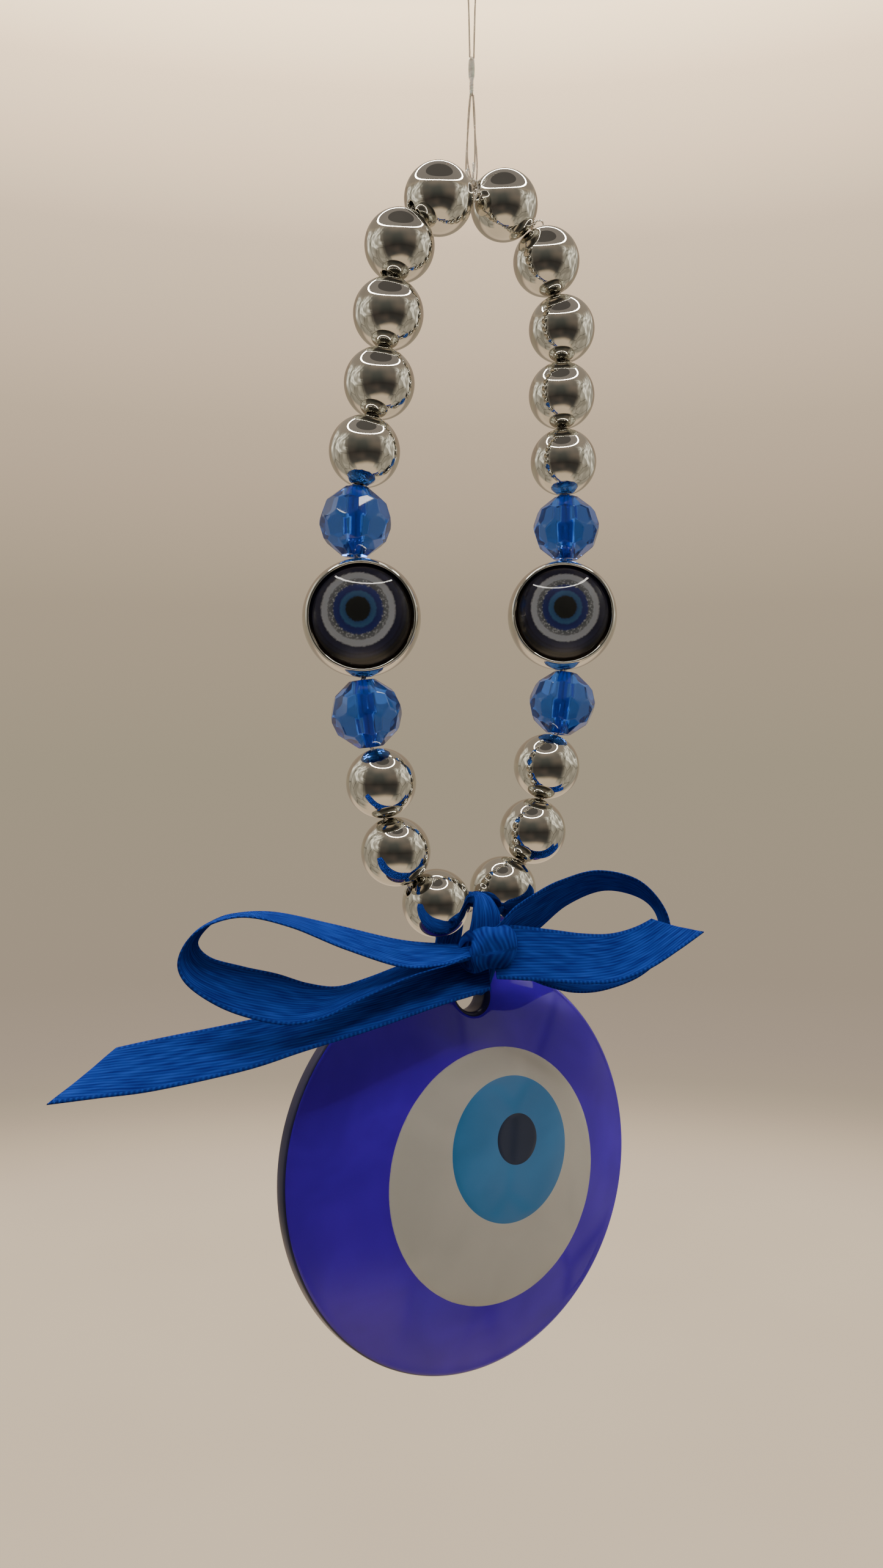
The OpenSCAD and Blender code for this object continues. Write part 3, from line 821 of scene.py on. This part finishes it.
def glass_disc():
    """The disc with its hole. Circles run from the hole's mouth to the edge, with their
    middles sliding from the hole to the disc's own middle, so one grid covers the whole
    face; then a rounded edge, the flat back the same way inwards, and the hole's wall. Also
    gives which rows are bare, unpolished glass: the hole's mouth and wall, and the side. These
    rows get a dark slate colour, which is painted shade for the side and the hole's wall."""
    around = 256
    turn = np.linspace(0, 2 * pi, around, endpoint=False)
    mouth, lip, back_mouth, round_r = 4.5, 1.3, 3.7, 0.9
    rows = []

    def circles(t, start_r, end_r, height):
        mid, r = HOLE_AT * (1 - t), start_r + (end_r - start_r) * t
        x, z = mid[0] + r * np.cos(turn), mid[1] + r * np.sin(turn)
        rows.append(np.stack([x, height(x, z), z], -1))

    for bend in np.linspace(0, pi / 2, 9)[:-1]:
        r = HOLE_R + (mouth - HOLE_R) * (1 - cos(bend))
        x, z = HOLE_AT[0] + r * np.cos(turn), HOLE_AT[1] + r * np.sin(turn)
        x0, z0 = HOLE_AT[0] + mouth * np.cos(turn), HOLE_AT[1] + mouth * np.sin(turn)
        rows.append(np.stack([x, dome_front(x0, z0) * 0.5 + dome_front(x,
                z) * 0.5 + lip * (1 - sin(bend)), z], -1))
    for t in np.linspace(0, 1, 60) ** 1.3:
        circles(t, mouth, GLASS_R - round_r, dome_front)
    side_starts = len(rows) + 2
    y0 = float(dome_front(GLASS_R - round_r, 0))
    for bend in np.linspace(0, pi / 2, 7)[1:]:
        r = GLASS_R - round_r * (1 - sin(bend))
        rows.append(np.stack([r * np.cos(turn),
                              np.full(around, y0 + round_r * 0.9 * (1 - cos(bend))),
                              r * np.sin(turn)], -1))
    for bend in np.linspace(0, pi / 2, 5):
        r = GLASS_R - 0.5 * (1 - cos(bend))
        rows.append(np.stack([r * np.cos(turn), np.full(around, EDGE_T - 0.5 * (1 - sin(bend))),
                              r * np.sin(turn)], -1))
    side_ends = len(rows)
    for t in np.linspace(1, 0, 24)[1:]:
        circles(t, back_mouth, GLASS_R - 0.5, lambda x, z: 0 * x + EDGE_T)
    for depth, r in ((EDGE_T - 0.15, 3.35), (EDGE_T - 0.5, HOLE_R), (1.5, HOLE_R), (0.5, HOLE_R)):
        x, z = HOLE_AT[0] + r * np.cos(turn), HOLE_AT[1] + r * np.sin(turn)
        rows.append(np.stack([x, np.full(around, depth), z], -1))
    # These rows take the rough dark slate glass, whose colour is painted shade.
    bare = np.zeros(len(rows), bool)
    bare[:6] = bare[side_starts:side_ends] = bare[-5:] = True
    return np.stack(rows), grid_faces(len(rows), around, True, True), bare


def smoothstep(t):
    """0 to 1 with level ends."""
    t = np.clip(t, 0, 1)
    return t * t * (3 - 2 * t)


def poured_layer(centre_x, centre_z, radius, proud, base):
    """A poured layer: a disc on the dome. Its surface follows the dome, rises by proud
    millimetres over its first 1.5 mm and starts just under the glass round it. Its outline
    wavers by a third of a millimetre."""
    steps, n = 192, 40
    turn = np.linspace(0, 2 * pi, steps, endpoint=False)[:, None]
    share = np.linspace(0, 1, n + 1)[1:][None]
    waver = 0.12 * np.sin(3 * turn + radius) + 0.08 * np.sin(8 * turn
            + 2 * radius) + 0.04 * np.sin(17 * turn)
    r = (radius + waver) * share
    x, z = centre_x + r * np.cos(turn), centre_z + r * np.sin(turn)
    rise = -0.06 + (proud + 0.06) * smoothstep((radius - r) / 1.5)
    front = np.stack([x, dome_front(x, z) - base - rise, z], -1)
    skirt = np.stack([x[:, -1], front[:, -1, 1] + 0.5, z[:, -1]], -1)[:, None]
    body = np.concatenate([front, skirt], 1)
    uv = np.concatenate([np.stack([r * np.cos(turn), r * np.sin(turn)], -1),
                         np.stack([(r * np.cos(turn))[:, -1], (r * np.sin(turn))[:, -1]], -1)[:,
                                 None]], 1) / 10
    points = np.concatenate([body.reshape(-1, 3),
                             [(centre_x, float(dome_front(centre_x, centre_z)) - base - proud,
                               centre_z),
                                                    (centre_x, float(dome_front(centre_x,
                                                            centre_z)) + 0.5, centre_z)]])
    uv = np.concatenate([uv.reshape(-1, 2), [(0, 0), (0, 0)]])
    return points, closed_faces(steps, n + 1), uv


cobalt = glass("cobalt_glass", "#4804d8", "#5208ee")
# Glass for the side and the hole's wall: rough, and dark slate as painted shade for these faces in shade.
bare_side_painted_shade = glass("bare_glass_painted_shade", "#2c2c50", "#383862", ripple=0.12, roughness=0.3,
                  specular=0.22)
points, faces, bare_shaded_rows = glass_disc()
disc = mesh_piece("glass_disc", glass_placed(points), faces, cobalt, "eye")
disc.data.materials.append(bare_side_painted_shade)
bare = np.repeat(bare_shaded_rows, points.shape[1])
disc.data.polygons.foreach_set("material_index", bare.astype(np.int32))
fix_normals(disc)
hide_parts("glass_body")

layers = [
    ("white_pour", "white_layer", "white_glass", (3.6, -2.4, 22.8), 0.12, 0.0, "#d6d4d0",
     "#e2dfda", "#3a34a0"),
    ("iris_pour", "iris_layer", "light_blue_glass", (6.2, 1.8, 13.4), 0.08, 0.12, "#4288cc",
     "#4a94da", "#a4c4d4"),
    ("pupil_pour", "pupil", "dark_glass", (7.4, 3.4, 5.2), 0.06, 0.20, "#263350", "#2e3a5a",
     "#1f5f8c"),
]
for name, node, slot, (cx, cz, radius), proud, base, dark, light, outside in layers:
    surface = glass(slot, dark, light,
                    extra=soft_edge(radius, 0.3 if radius < 20 else 0.8, outside))
    points, faces, uv = poured_layer(cx, cz, radius, proud, base)
    pour = mesh_piece(name, glass_placed(points), faces, surface, "eye", uv=uv)
    fix_normals(pour)
    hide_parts(node)


# ---- ribbon ----

RIBBON_W = 10.0
loop_left = [
    (-2.5, -6.4, -129.6, 27, 8), (-9, -6.6, -129.8, 25, 12), (-17, -7, -129, 19, 18),
    (-28, -7, -125.5, 8, 16), (-38, -8, -122, 4, 6), (-45.5, -8, -121, 8, -5),
    (-50.5, -8, -122.6, 26, -3), (-53, -8, -126, 31, 4), (-51.5, -8.3, -129.2, 38, 12),
    (-46.5, -8.8, -132, 42, 26), (-41, -9, -134, 42, 33), (-35.5, -9, -135.7, 37, 28),
    (-30, -8.8, -136, 32, 17), (-24, -8, -134.6, 29, 9), (-14, -7, -132, 25, 4),
    (-2.5, -6.4, -130.4, 25, 4),
]
loop_right = [
    (1.5, -6, -128.6, 15, -48), (6, -5, -126.6, 23, -52), (11, -4.4, -124.4, 34, -48),
    (17, -4, -121.4, 40, -33), (25, -4, -119.6, 40, -27), (33.4, -4, -121.6, 34, -23),
    (38.4, -4, -126.4, 26, -8), (38.6, -4, -131.8, 27, 0), (33.6, -4, -136.3, 32, 0),
    (26, -4, -138.2, 34, 2), (19, -4.4, -137.8, 33, 5), (12.5, -5, -136, 32, 4),
    (7, -5.6, -133.6, 30, 4), (1.5, -6.2, -131, 25, 4),
]
tail_left = [
    (1, -4.4, -133.2, 22, 42), (-4, -5, -134.2, 23, 38), (-10, -6, -135.2, 24, 34),
    (-22.5, -7, -137.8, 17, 28),
    (-35, -7, -140, 9, 28), (-44, -7, -141.5, 12, 34), (-57, -7, -142.8, 19, 36),
    (-65.5, -7, -143.3, 17, 28), (-72.8, -7, -143.8, 13, 20),
]
tail_right = [
    (0.5, -7, -130.2, 14, 62), (5, -8.6, -130.6, 20, 60), (11, -10, -131.4, 23, 56),
    (17, -11, -132.2, 21, 52), (22.6, -12, -132.2, 19, 46), (28, -13, -130.7, 17, 38),
    (33.2, -14, -128, 16, 33), (38, -14.5, -125.3, 15, 31),
]
STEPS, ACROSS = 14, 25


def ribbon_strip(stations, gather_start=0.0, gather_end=0.0, seed=0.0):
    """A ribbon through stations of (x, y, z, sweep, dip): at each point its width lies along
    the direction that sweep and dip give. It is bunched to pleats over the gather lengths at
    its ends, cupped by a quarter of a millimetre and lightly creased lengthwise. Returns
    points, UV and the distance run at each row."""
    rows = smooth_rows(stations, STEPS)
    mid = rows[:, :3] - (0, 0, HANG_H)
    sweep, dip = np.radians(rows[:, 3]), np.radians(rows[:, 4])
    width = np.stack([-np.sin(sweep) * np.cos(dip), -np.cos(sweep) * np.cos(dip), -np.sin(dip)], -1)
    run = np.concatenate([[0], np.cumsum(np.linalg.norm(np.diff(mid, axis=0), axis=1))])
    along = tangents(mid)
    out = unit(np.cross(along, width))
    v = np.linspace(-1, 1, ACROSS)[None, :]
    bunch = np.zeros(len(run))
    if gather_start:
        bunch += 1 - smoothstep(run / gather_start)
    if gather_end:
        bunch += 1 - smoothstep((run[-1] - run) / gather_end)
    half = RIBBON_W / 2 * (1 - 0.42 * bunch)[:, None]
    pleat = bunch[:, None] * 0.5 * np.cos(2.6 * pi * v + seed)
    crease = 0.03 * np.sin(4.3 * v + 0.11 * run[:,
                                                None] + seed) + 0.015 * np.sin(9.1 * v
                                                        - 0.07 * run[:, None] + 2 * seed)
    cup = -0.25 * v**2
    lift = pleat + crease * (1 - bunch[:, None]) + cup
    place = mid[:, None] + half[..., None] * v[..., None] * width[:, None] + lift[...,
            None] * out[:, None]
    uv = np.stack(np.broadcast_arrays(run[:, None] / 10, v * RIBBON_W / 20), -1)
    return place, uv, run


def slant_cut(strip, place, run, cut):
    """Cuts a strip's end on the slant: a plane square to the cloth, from the near edge's end
    to the far edge cut millimetres back."""
    near, far = place[-1, -1], place[np.searchsorted(run, run[-1] - cut), 0]
    out = np.cross(place[-1, -1] - place[-1, 0], place[-1, 12] - place[-4, 12])
    away = unit(np.cross(near - far, out))
    away = away * np.sign(np.dot(away, place[-1, 0] - place[0, 0]))
    work = bmesh.new()
    work.from_mesh(strip.data)
    bmesh.ops.bisect_plane(work, geom=work.verts[:] + work.edges[:] + work.faces[:], dist=1e-7,
                           plane_co=near * MM, plane_no=away, clear_outer=True)
    work.to_mesh(strip.data)
    work.free()


def ribbon_piece(name, node, stations, cut=0.0, **shape):
    """A length of satin ribbon as its own sheet, 0.2 mm thick."""
    place, uv, run = ribbon_strip(stations, **shape)
    strip = mesh_piece(name, place, grid_faces(*place.shape[:2]), ribbon_satin, "ribbon", uv=uv)
    if cut:
        slant_cut(strip, place, run, cut)
    thick = strip.modifiers.new("cloth", "SOLIDIFY")
    thick.thickness, thick.offset = 0.22 * MM, 0
    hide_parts(node)
    return strip


bow_pieces = {
    "left_loop": ribbon_piece("ribbon_loop_left", "bow_loop_left", loop_left, gather_start=7,
                              gather_end=7, seed=0.4),
    "right_loop": ribbon_piece("ribbon_loop_right", "bow_loop_right", loop_right, gather_start=5,
                               gather_end=8, seed=1.9),
    "left_tail": ribbon_piece("ribbon_tail_left", "bow_tail_left", tail_left, cut=9.0, seed=3.1),
    "right_tail": ribbon_piece("ribbon_tail_right", "bow_tail_right", tail_right, cut=8.5,
                               seed=5.0),
}

sling_route = [
    (-0.5, -5.5, -129, 7, 1.6), (-0.6, -6.3, -126, 5.6, 1.5), (-0.4, -6.2, -123.5, 5, 1.3),
    (-0.2, -4.4, -121.6, 3.2, 1.8), (-0.1, -1.6, -121.8, 1.25, 2.4), (-0.1, 1.4, -122, 1.25, 2.2),
    (0, 4.2, -123.2, 2.6, 1.6), (0, 6.6, -126, 4, 1.2), (-0.4, 8.2, -130, 5, 1),
    (-0.6, 8.9, -134.4, 4.2, 1), (-0.6, 7.8, -137.2, 3.4, 1.2), (-0.4, 5, -137.5, 3.4, 1.8),
    (0.4, 2, -137.5, 4.2, 2.6), (0.4, -0.8, -137.5, 4.6, 2.6), (0, -2.8, -135.4, 5.4, 1.6),
    (-0.4, -4.8, -131.8, 6.4, 1.3),
]


def bunched_band(route, around=48):
    """The sling: a closed loop of bunched ribbon. Its section is a rounded oblong of the
    width and thickness given on the way, with seven soft pleats round it."""
    rows = smooth_rows(route, 12, closed=True)
    mid = rows[:, :3] - (0, 0, HANG_H)
    along = tangents(mid, closed=True)
    side = np.array([1.0, 0, 0])[None]
    out = unit(np.cross(side, along))
    side = unit(np.cross(along, out))
    turn = np.linspace(0, 2 * pi, around, endpoint=False)[None]
    run = np.concatenate([[0], np.cumsum(np.linalg.norm(np.diff(mid, axis=0), axis=1))])
    power = 0.7
    c, s = np.cos(turn), np.sin(turn)
    fold = 1 + 0.07 * np.cos(7 * turn + 0.25 * np.sin(run / 9)[:, None])
    x = rows[:, 3:4] / 2 * np.sign(c) * np.abs(c) ** power * fold
    y = rows[:, 4:5] / 2 * np.sign(s) * np.abs(s) ** power * (1
            + 0.16 * np.cos(9 * turn + 0.2 * run[:, None]))
    points = mid[:, None] + x[..., None] * side[:, None] + y[..., None] * out[:, None]
    uv = np.stack([np.broadcast_to(run[:, None] / 10, x.shape),
                   np.broadcast_to(0.42 * np.cos(turn), x.shape)], -1)
    return points, uv


points, uv = bunched_band(sling_route)
sling = mesh_piece("ribbon_sling_band", points, grid_faces(*points.shape[:2], True, True),
                   ribbon_satin, "ribbon", uv=uv)
fix_normals(sling)
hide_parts("ribbon_sling")

KNOT_AT = np.array([-0.5, -6.4, -129.6 - HANG_H])


def knot_wrap():
    """The knot: the ribbon's turn round the bow, a closed wrap. Round it goes a rounded
    square; across it the band is full in the middle and rolls in at both sides; slanted
    creases run over its face."""
    around, across = 120, 49
    turn = np.linspace(0, 2 * pi, around, endpoint=False)[:, None]
    v = np.linspace(-1, 1, across)[None]
    c, s = np.cos(turn), np.sin(turn)
    power = 0.82
    full = np.sqrt(np.maximum(1 - 0.8 * np.abs(v) ** 4, 0.05))
    crease = (1 - v**2) * (0.26 * np.sin(4.5 * v + 2.2 * turn) + 0.12 * np.sin(9 * v - 4 * s + 1))
    y = -(3.5 * np.sign(c) * np.abs(c) ** power + 0.5) * full - crease * c
    z = (3.7 + 0.4 * v * c) * np.sign(s) * np.abs(s) ** power * full + crease * s * 0.7
    x = (4.6 - 0.9 * s**2) * np.sin(v * pi / 2) + 0.5 * s
    lean = radians(6)
    x, z = x * cos(lean) - z * sin(lean) * 0.35, x * sin(lean) + z
    points = np.stack([x, y, z], -1) + KNOT_AT
    uv = np.stack([turn * 0.4 + 0 * v, v * 0.36 + 0.05 * np.sin(2.5 * turn + 2 * v)], -1)
    return points, uv


points, uv = knot_wrap()
wrap = mesh_piece("ribbon_wrap", points, grid_faces(*points.shape[:2], True, False), ribbon_satin,
                  "ribbon", uv=uv)
thick = wrap.modifiers.new("cloth", "SOLIDIFY")
thick.thickness, thick.offset = 0.3 * MM, -1
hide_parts("bow_knot")


# ---- light and backdrop ----


def soft_room():
    """World light: a plain warm room. Its tone depends only on the height looked at: pale
    floor low down, a slightly darker wall, and light that grows towards the ceiling."""
    world = bpy.data.worlds.new("room")
    world.use_nodes = True
    tree = world.node_tree
    direction = add(tree, "ShaderNodeTexCoord").outputs["Generated"]
    height = add(tree, "ShaderNodeSeparateXYZ", Vector=direction).outputs["Z"]
    place = add(tree, "ShaderNodeMapRange", Value=height)
    place.inputs["From Min"].default_value, place.inputs["From Max"].default_value = -0.6, 0.6
    full = 3.4
    heights = [
        (-0.60, (0.93, 0.73, 0.51)), (-0.49, (1.0, 0.784, 0.549)), (-0.41, (0.948, 0.743, 0.524)),
        (-0.35, (0.869, 0.687, 0.501)), (-0.302, (0.702, 0.541, 0.375)),
        (-0.279, (0.5765, 0.4516, 0.3206)),
        (-0.26, (0.4785, 0.382, 0.275)), (-0.232, (0.44, 0.349, 0.262)),
        (-0.18, (0.404, 0.322, 0.238)),
        (0.0, (0.412, 0.345, 0.241)), (0.13, (0.4785, 0.382, 0.266)),
        (0.276, (0.721, 0.553, 0.383)),
        (0.405, (1.124, 0.856, 0.586)), (0.497, (2.083, 1.543, 0.989)), (0.54, (3.1, 2.35, 1.45)),
        (0.6, (2.4, 1.9, 1.3)),
    ]
    stops = [((h + 0.6) / 1.2, (r / full, g / full, b / full, 1)) for h, (r, g, b) in heights]
    colour = ramp(tree, place.outputs["Result"], stops)
    # Matt surfaces get little light from low down and from the right, as they would beside a
    # dark counter, and mirrors see a ceiling that is duller than the lit wall.
    side = add(tree, "ShaderNodeSeparateXYZ", Vector=direction).outputs["X"]
    across = add(tree, "ShaderNodeMapRange", Value=side)
    across.inputs["From Min"].default_value = -1.0
    low = ramp(tree, place.outputs["Result"], [(0.40, (0.3, 0.3, 0.3, 1)), (0.60, (1, 1, 1, 1))])
    left = ramp(tree, across.outputs["Result"],
                [(0.2, (1.4, 1.4, 1.4, 1)), (0.8, (0.35, 0.35, 0.35, 1))])
    matt_share = add(tree, "ShaderNodeMix", {"data_type": "RGBA", "blend_type": "MULTIPLY"},
                     Factor=1.0, A=low, B=left).outputs["Result"]
    ceiling = ramp(tree, place.outputs["Result"],
                   [(0.52, (1, 1, 1, 1)), (0.70, (0.62, 0.62, 0.64, 1)),
                    (0.92, (0.17, 0.18, 0.21, 1))])
    rays = add(tree, "ShaderNodeLightPath").outputs
    share = add(tree, "ShaderNodeMix", {"data_type": "RGBA"}, Factor=rays["Is Diffuse Ray"],
                A=(1, 1, 1, 1), B=matt_share).outputs["Result"]
    share = add(tree, "ShaderNodeMix", {"data_type": "RGBA"}, Factor=rays["Is Glossy Ray"],
                A=share, B=ceiling).outputs["Result"]
    dimmed = add(tree, "ShaderNodeMix", {"data_type": "RGBA", "blend_type": "MULTIPLY"},
                 Factor=1.0, A=colour, B=share)
    background = tree.nodes["Background"]
    tree.links.new(dimmed.outputs["Result"], background.inputs["Color"])
    background.inputs["Strength"].default_value = full
    bpy.context.scene.world = world


def glowing(name, paint, soft=0.0):
    """A light-giving surface. paint(tree, u, v) gives its colour, and it fades to nothing
    over the share soft at its edges; u and v run from 0 to 1 across it."""
    made = bpy.data.materials.new(name)
    made.use_nodes = True
    tree = made.node_tree
    tree.nodes.clear()
    uv = add(tree, "ShaderNodeUVMap", {"uv_map": "cloth"}).outputs["UV"]
    split = add(tree, "ShaderNodeSeparateXYZ", Vector=uv)
    u, v = split.outputs["X"], split.outputs["Y"]
    shine = add(tree, "ShaderNodeEmission", Color=paint(tree, uv, v), Strength=1.0).outputs[0]
    if soft:
        shares = []
        waver = add(tree, "ShaderNodeTexNoise", Vector=uv, Scale=4.0, Detail=1.0).outputs["Fac"]
        for side in (u, v):
            shifted = add(tree, "ShaderNodeMath", {"operation": "MULTIPLY_ADD"}, i0=waver,
                          i1=0.3 * soft, i2=side).outputs[0]
            from_middle = add(tree, "ShaderNodeMath", {"operation": "SUBTRACT"}, i0=shifted,
                              i1=0.5 + 0.15 * soft).outputs[0]
            far = add(tree, "ShaderNodeMath", {"operation": "ABSOLUTE"}, i0=from_middle).outputs[0]
            fade = add(tree, "ShaderNodeMapRange", {"interpolation_type": "SMOOTHSTEP"}, Value=far)
            fade.inputs["From Min"].default_value, fade.inputs["From Max"].default_value = 0.5, 0.5 - soft
            shares.append(fade.outputs["Result"])
        share = add(tree, "ShaderNodeMath", {"operation": "MULTIPLY"}, i0=shares[0],
                    i1=shares[1]).outputs[0]
        clear = add(tree, "ShaderNodeBsdfTransparent").outputs[0]
        shine = add(tree, "ShaderNodeMixShader", i0=share, i1=clear, i2=shine).outputs[0]
    add(tree, "ShaderNodeOutputMaterial", Surface=shine)
    return made


def plain(colour, strength):
    """One even colour for glowing."""
    lit = tuple(c * strength for c in tone(colour)[:3]) + (1,)
    return lambda tree, uv, v: ramp(tree, v, [(0.0, lit)])


def crumpled_foil(tree, uv, v):
    """A crumpled pale sheet: bright creased facets high up, and duller ones with thin dark
    seams below."""
    facet = add(tree, "ShaderNodeTexVoronoi", {"feature": "DISTANCE_TO_EDGE"}, Vector=uv, Scale=3.2)
    fold = add(tree, "ShaderNodeTexNoise", Vector=uv, Scale=2.6, Detail=1.0, Distortion=1.6)
    pale = ramp(tree, fold.outputs["Fac"],
                [(0.30, (0.34, 0.31, 0.25, 1)), (0.45, (0.7, 0.64, 0.52, 1)),
                 (0.56, (1.9, 1.8, 1.5, 1)), (0.62, (0.9, 0.82, 0.68, 1)),
                 (0.72, (1.5, 1.42, 1.2, 1))])
    dull = ramp(tree, fold.outputs["Fac"],
                [(0.35, (0.36, 0.32, 0.25, 1)), (0.6, (0.62, 0.55, 0.43, 1)),
                 (0.7, (0.45, 0.40, 0.31, 1))])
    seam = ramp(tree, facet.outputs["Distance"],
                [(0.0, (0.45, 0.45, 0.45, 1)), (0.05, (1, 1, 1, 1))])
    high = ramp(tree, v, [(0.52, (0, 0, 0, 1)), (0.62, (1, 1, 1, 1))])
    both = add(tree, "ShaderNodeMix", {"data_type": "RGBA"}, A=dull, B=pale)
    tree.links.new(high, both.inputs["Factor"])
    return add(tree, "ShaderNodeMix", {"data_type": "RGBA", "blend_type": "MULTIPLY"}, Factor=1.0,
               A=both.outputs["Result"], B=seam).outputs["Result"]


def room_front(tree, uv, v):
    """The dim side of the room: darkest low down, in faint uneven patches."""
    patch = add(tree, "ShaderNodeTexNoise", Vector=uv, Scale=2.5, Detail=1.0)
    rise = ramp(tree, v, [(0.0, (0.20, 0.19, 0.16, 1)), (0.2, (0.10, 0.09, 0.08, 1)),
                          (0.42, (0.055, 0.05, 0.045, 1)), (0.62, (0.15, 0.14, 0.12, 1)),
                          (1.0, (0.34, 0.31, 0.27, 1))])
    uneven = ramp(tree, patch.outputs["Fac"],
                  [(0.35, (0.65, 0.7, 0.7, 1)), (0.65, (1.35, 1.2, 1.1, 1))])
    return add(tree, "ShaderNodeMix", {"data_type": "RGBA", "blend_type": "MULTIPLY"}, Factor=1.0,
               A=rise, B=uneven).outputs["Result"]


def hidden_card(name, shape, material, shade=True):
    """A studio card that only shows in reflections and as light. With shade it also keeps
    the room behind it from lighting the ornament."""
    points, faces, uv = shape
    card = mesh_piece(name, points, faces, material, None, uv=uv)
    card.visible_camera = False
    card.visible_shadow = shade
    return card


def flat_ring(centre, inner, outer, steps=96):
    """A flat annulus about Z."""
    turn = np.linspace(0, 2 * pi, steps, endpoint=False)[:, None]
    r = np.array([[inner, outer]])
    uv = np.stack(np.broadcast_arrays(turn / (2 * pi), (r - inner) / (outer - inner)), -1)
    return np.stack([r * np.cos(turn), r * np.sin(turn), 0 * r * turn],
                    -1) + np.asarray(centre), grid_faces(steps, 2, True, False), uv


def sky_patch(centre, radius, azimuths, heights, n=24):
    """Part of a sphere seen from centre: azimuths from -Y towards +X and heights, degrees."""
    share = np.linspace(0, 1, n)
    az = np.radians(azimuths[0] + (azimuths[1] - azimuths[0]) * share)[:, None]
    el = np.radians(heights[0] + (heights[1] - heights[0]) * share)[None]
    way = np.stack([np.sin(az) * np.cos(el), -np.cos(az) * np.cos(el), np.sin(el) + 0 * az], -1)
    uv = np.stack(np.broadcast_arrays(share[:, None], share[None]), -1)
    return np.asarray(centre) + radius * way, grid_faces(n, n), uv


def pale_floor(radius=1050.0, depth=-500.0, rings=24, steps=96):
    """A plain pale floor: an evenly lit round sheet that fades out over its last third, so
    that it has no edge against the room."""
    r = np.linspace(0, 1, rings)[None] * radius + 0.01
    turn = np.linspace(0, 2 * pi, steps, endpoint=False)[:, None]
    points = np.stack([r * np.cos(turn), r * np.sin(turn), depth + 0 * r * turn], -1)
    uv = np.stack(np.broadcast_arrays(turn / (2 * pi), r / radius), -1)
    made, tree, shader = new_material("pale_floor")
    tree.nodes.remove(shader)
    far = add(tree, "ShaderNodeSeparateXYZ",
              Vector=add(tree, "ShaderNodeUVMap", {"uv_map": "cloth"}).outputs["UV"]).outputs["Y"]
    grain = add(tree, "ShaderNodeTexNoise",
                Vector=add(tree, "ShaderNodeTexCoord").outputs["Object"], Scale=6.0, Detail=2.0)
    pale = ramp(tree, grain.outputs["Fac"],
                [(0.3, (0.93, 0.728, 0.508, 1)), (0.7, (0.97, 0.762, 0.534, 1))])
    lit = add(tree, "ShaderNodeEmission", Color=pale, Strength=1.0).outputs[0]
    clear = add(tree, "ShaderNodeBsdfTransparent").outputs[0]
    fade = add(tree, "ShaderNodeMapRange", {"interpolation_type": "SMOOTHSTEP"}, Value=far)
    fade.inputs["From Min"].default_value, fade.inputs["From Max"].default_value = 0.62, 1.0
    mixed = add(tree, "ShaderNodeMixShader", i0=fade.outputs["Result"], i1=lit, i2=clear).outputs[0]
    tree.links.new(mixed, tree.nodes["Material Output"].inputs["Surface"])
    floor = mesh_piece("pale_floor", points, grid_faces(steps, rings, True, False), made, None,
                       uv=uv)
    floor.visible_diffuse = floor.visible_glossy = floor.visible_shadow = False


soft_room()
pale_floor()
RING_AT = np.array([-26.0, -49.0, 60.0])
MIDDLE = (0, 0, -112.0)
hidden_card("lamp_ring", flat_ring(RING_AT, 126, 136), glowing("lamp_ring", plain("#fffaf0", 24.0)))
hidden_card("ceiling", flat_ring(RING_AT + (0, 0, 1), 68, 125),
            glowing("ceiling", plain("#8d857d", 1.3)))
hidden_card("ceiling_vent", flat_ring(RING_AT + (0, 0, 1), 0.5, 68),
            glowing("ceiling_vent", plain("#6a6560", 0.9)))
hidden_card("dark_opening", sky_patch(MIDDLE, 330, (-98, 46), (-54, 50)),
            glowing("dark_opening", room_front, 0.16))
hidden_card("left_card", sky_patch(MIDDLE, 345, (-156, -66), (-62, 44)),
            glowing("left_card", crumpled_foil, 0.12))
hidden_card("right_card", sky_patch(MIDDLE, 345, (14, 112), (-62, 44)),
            glowing("right_card", crumpled_foil, 0.12))
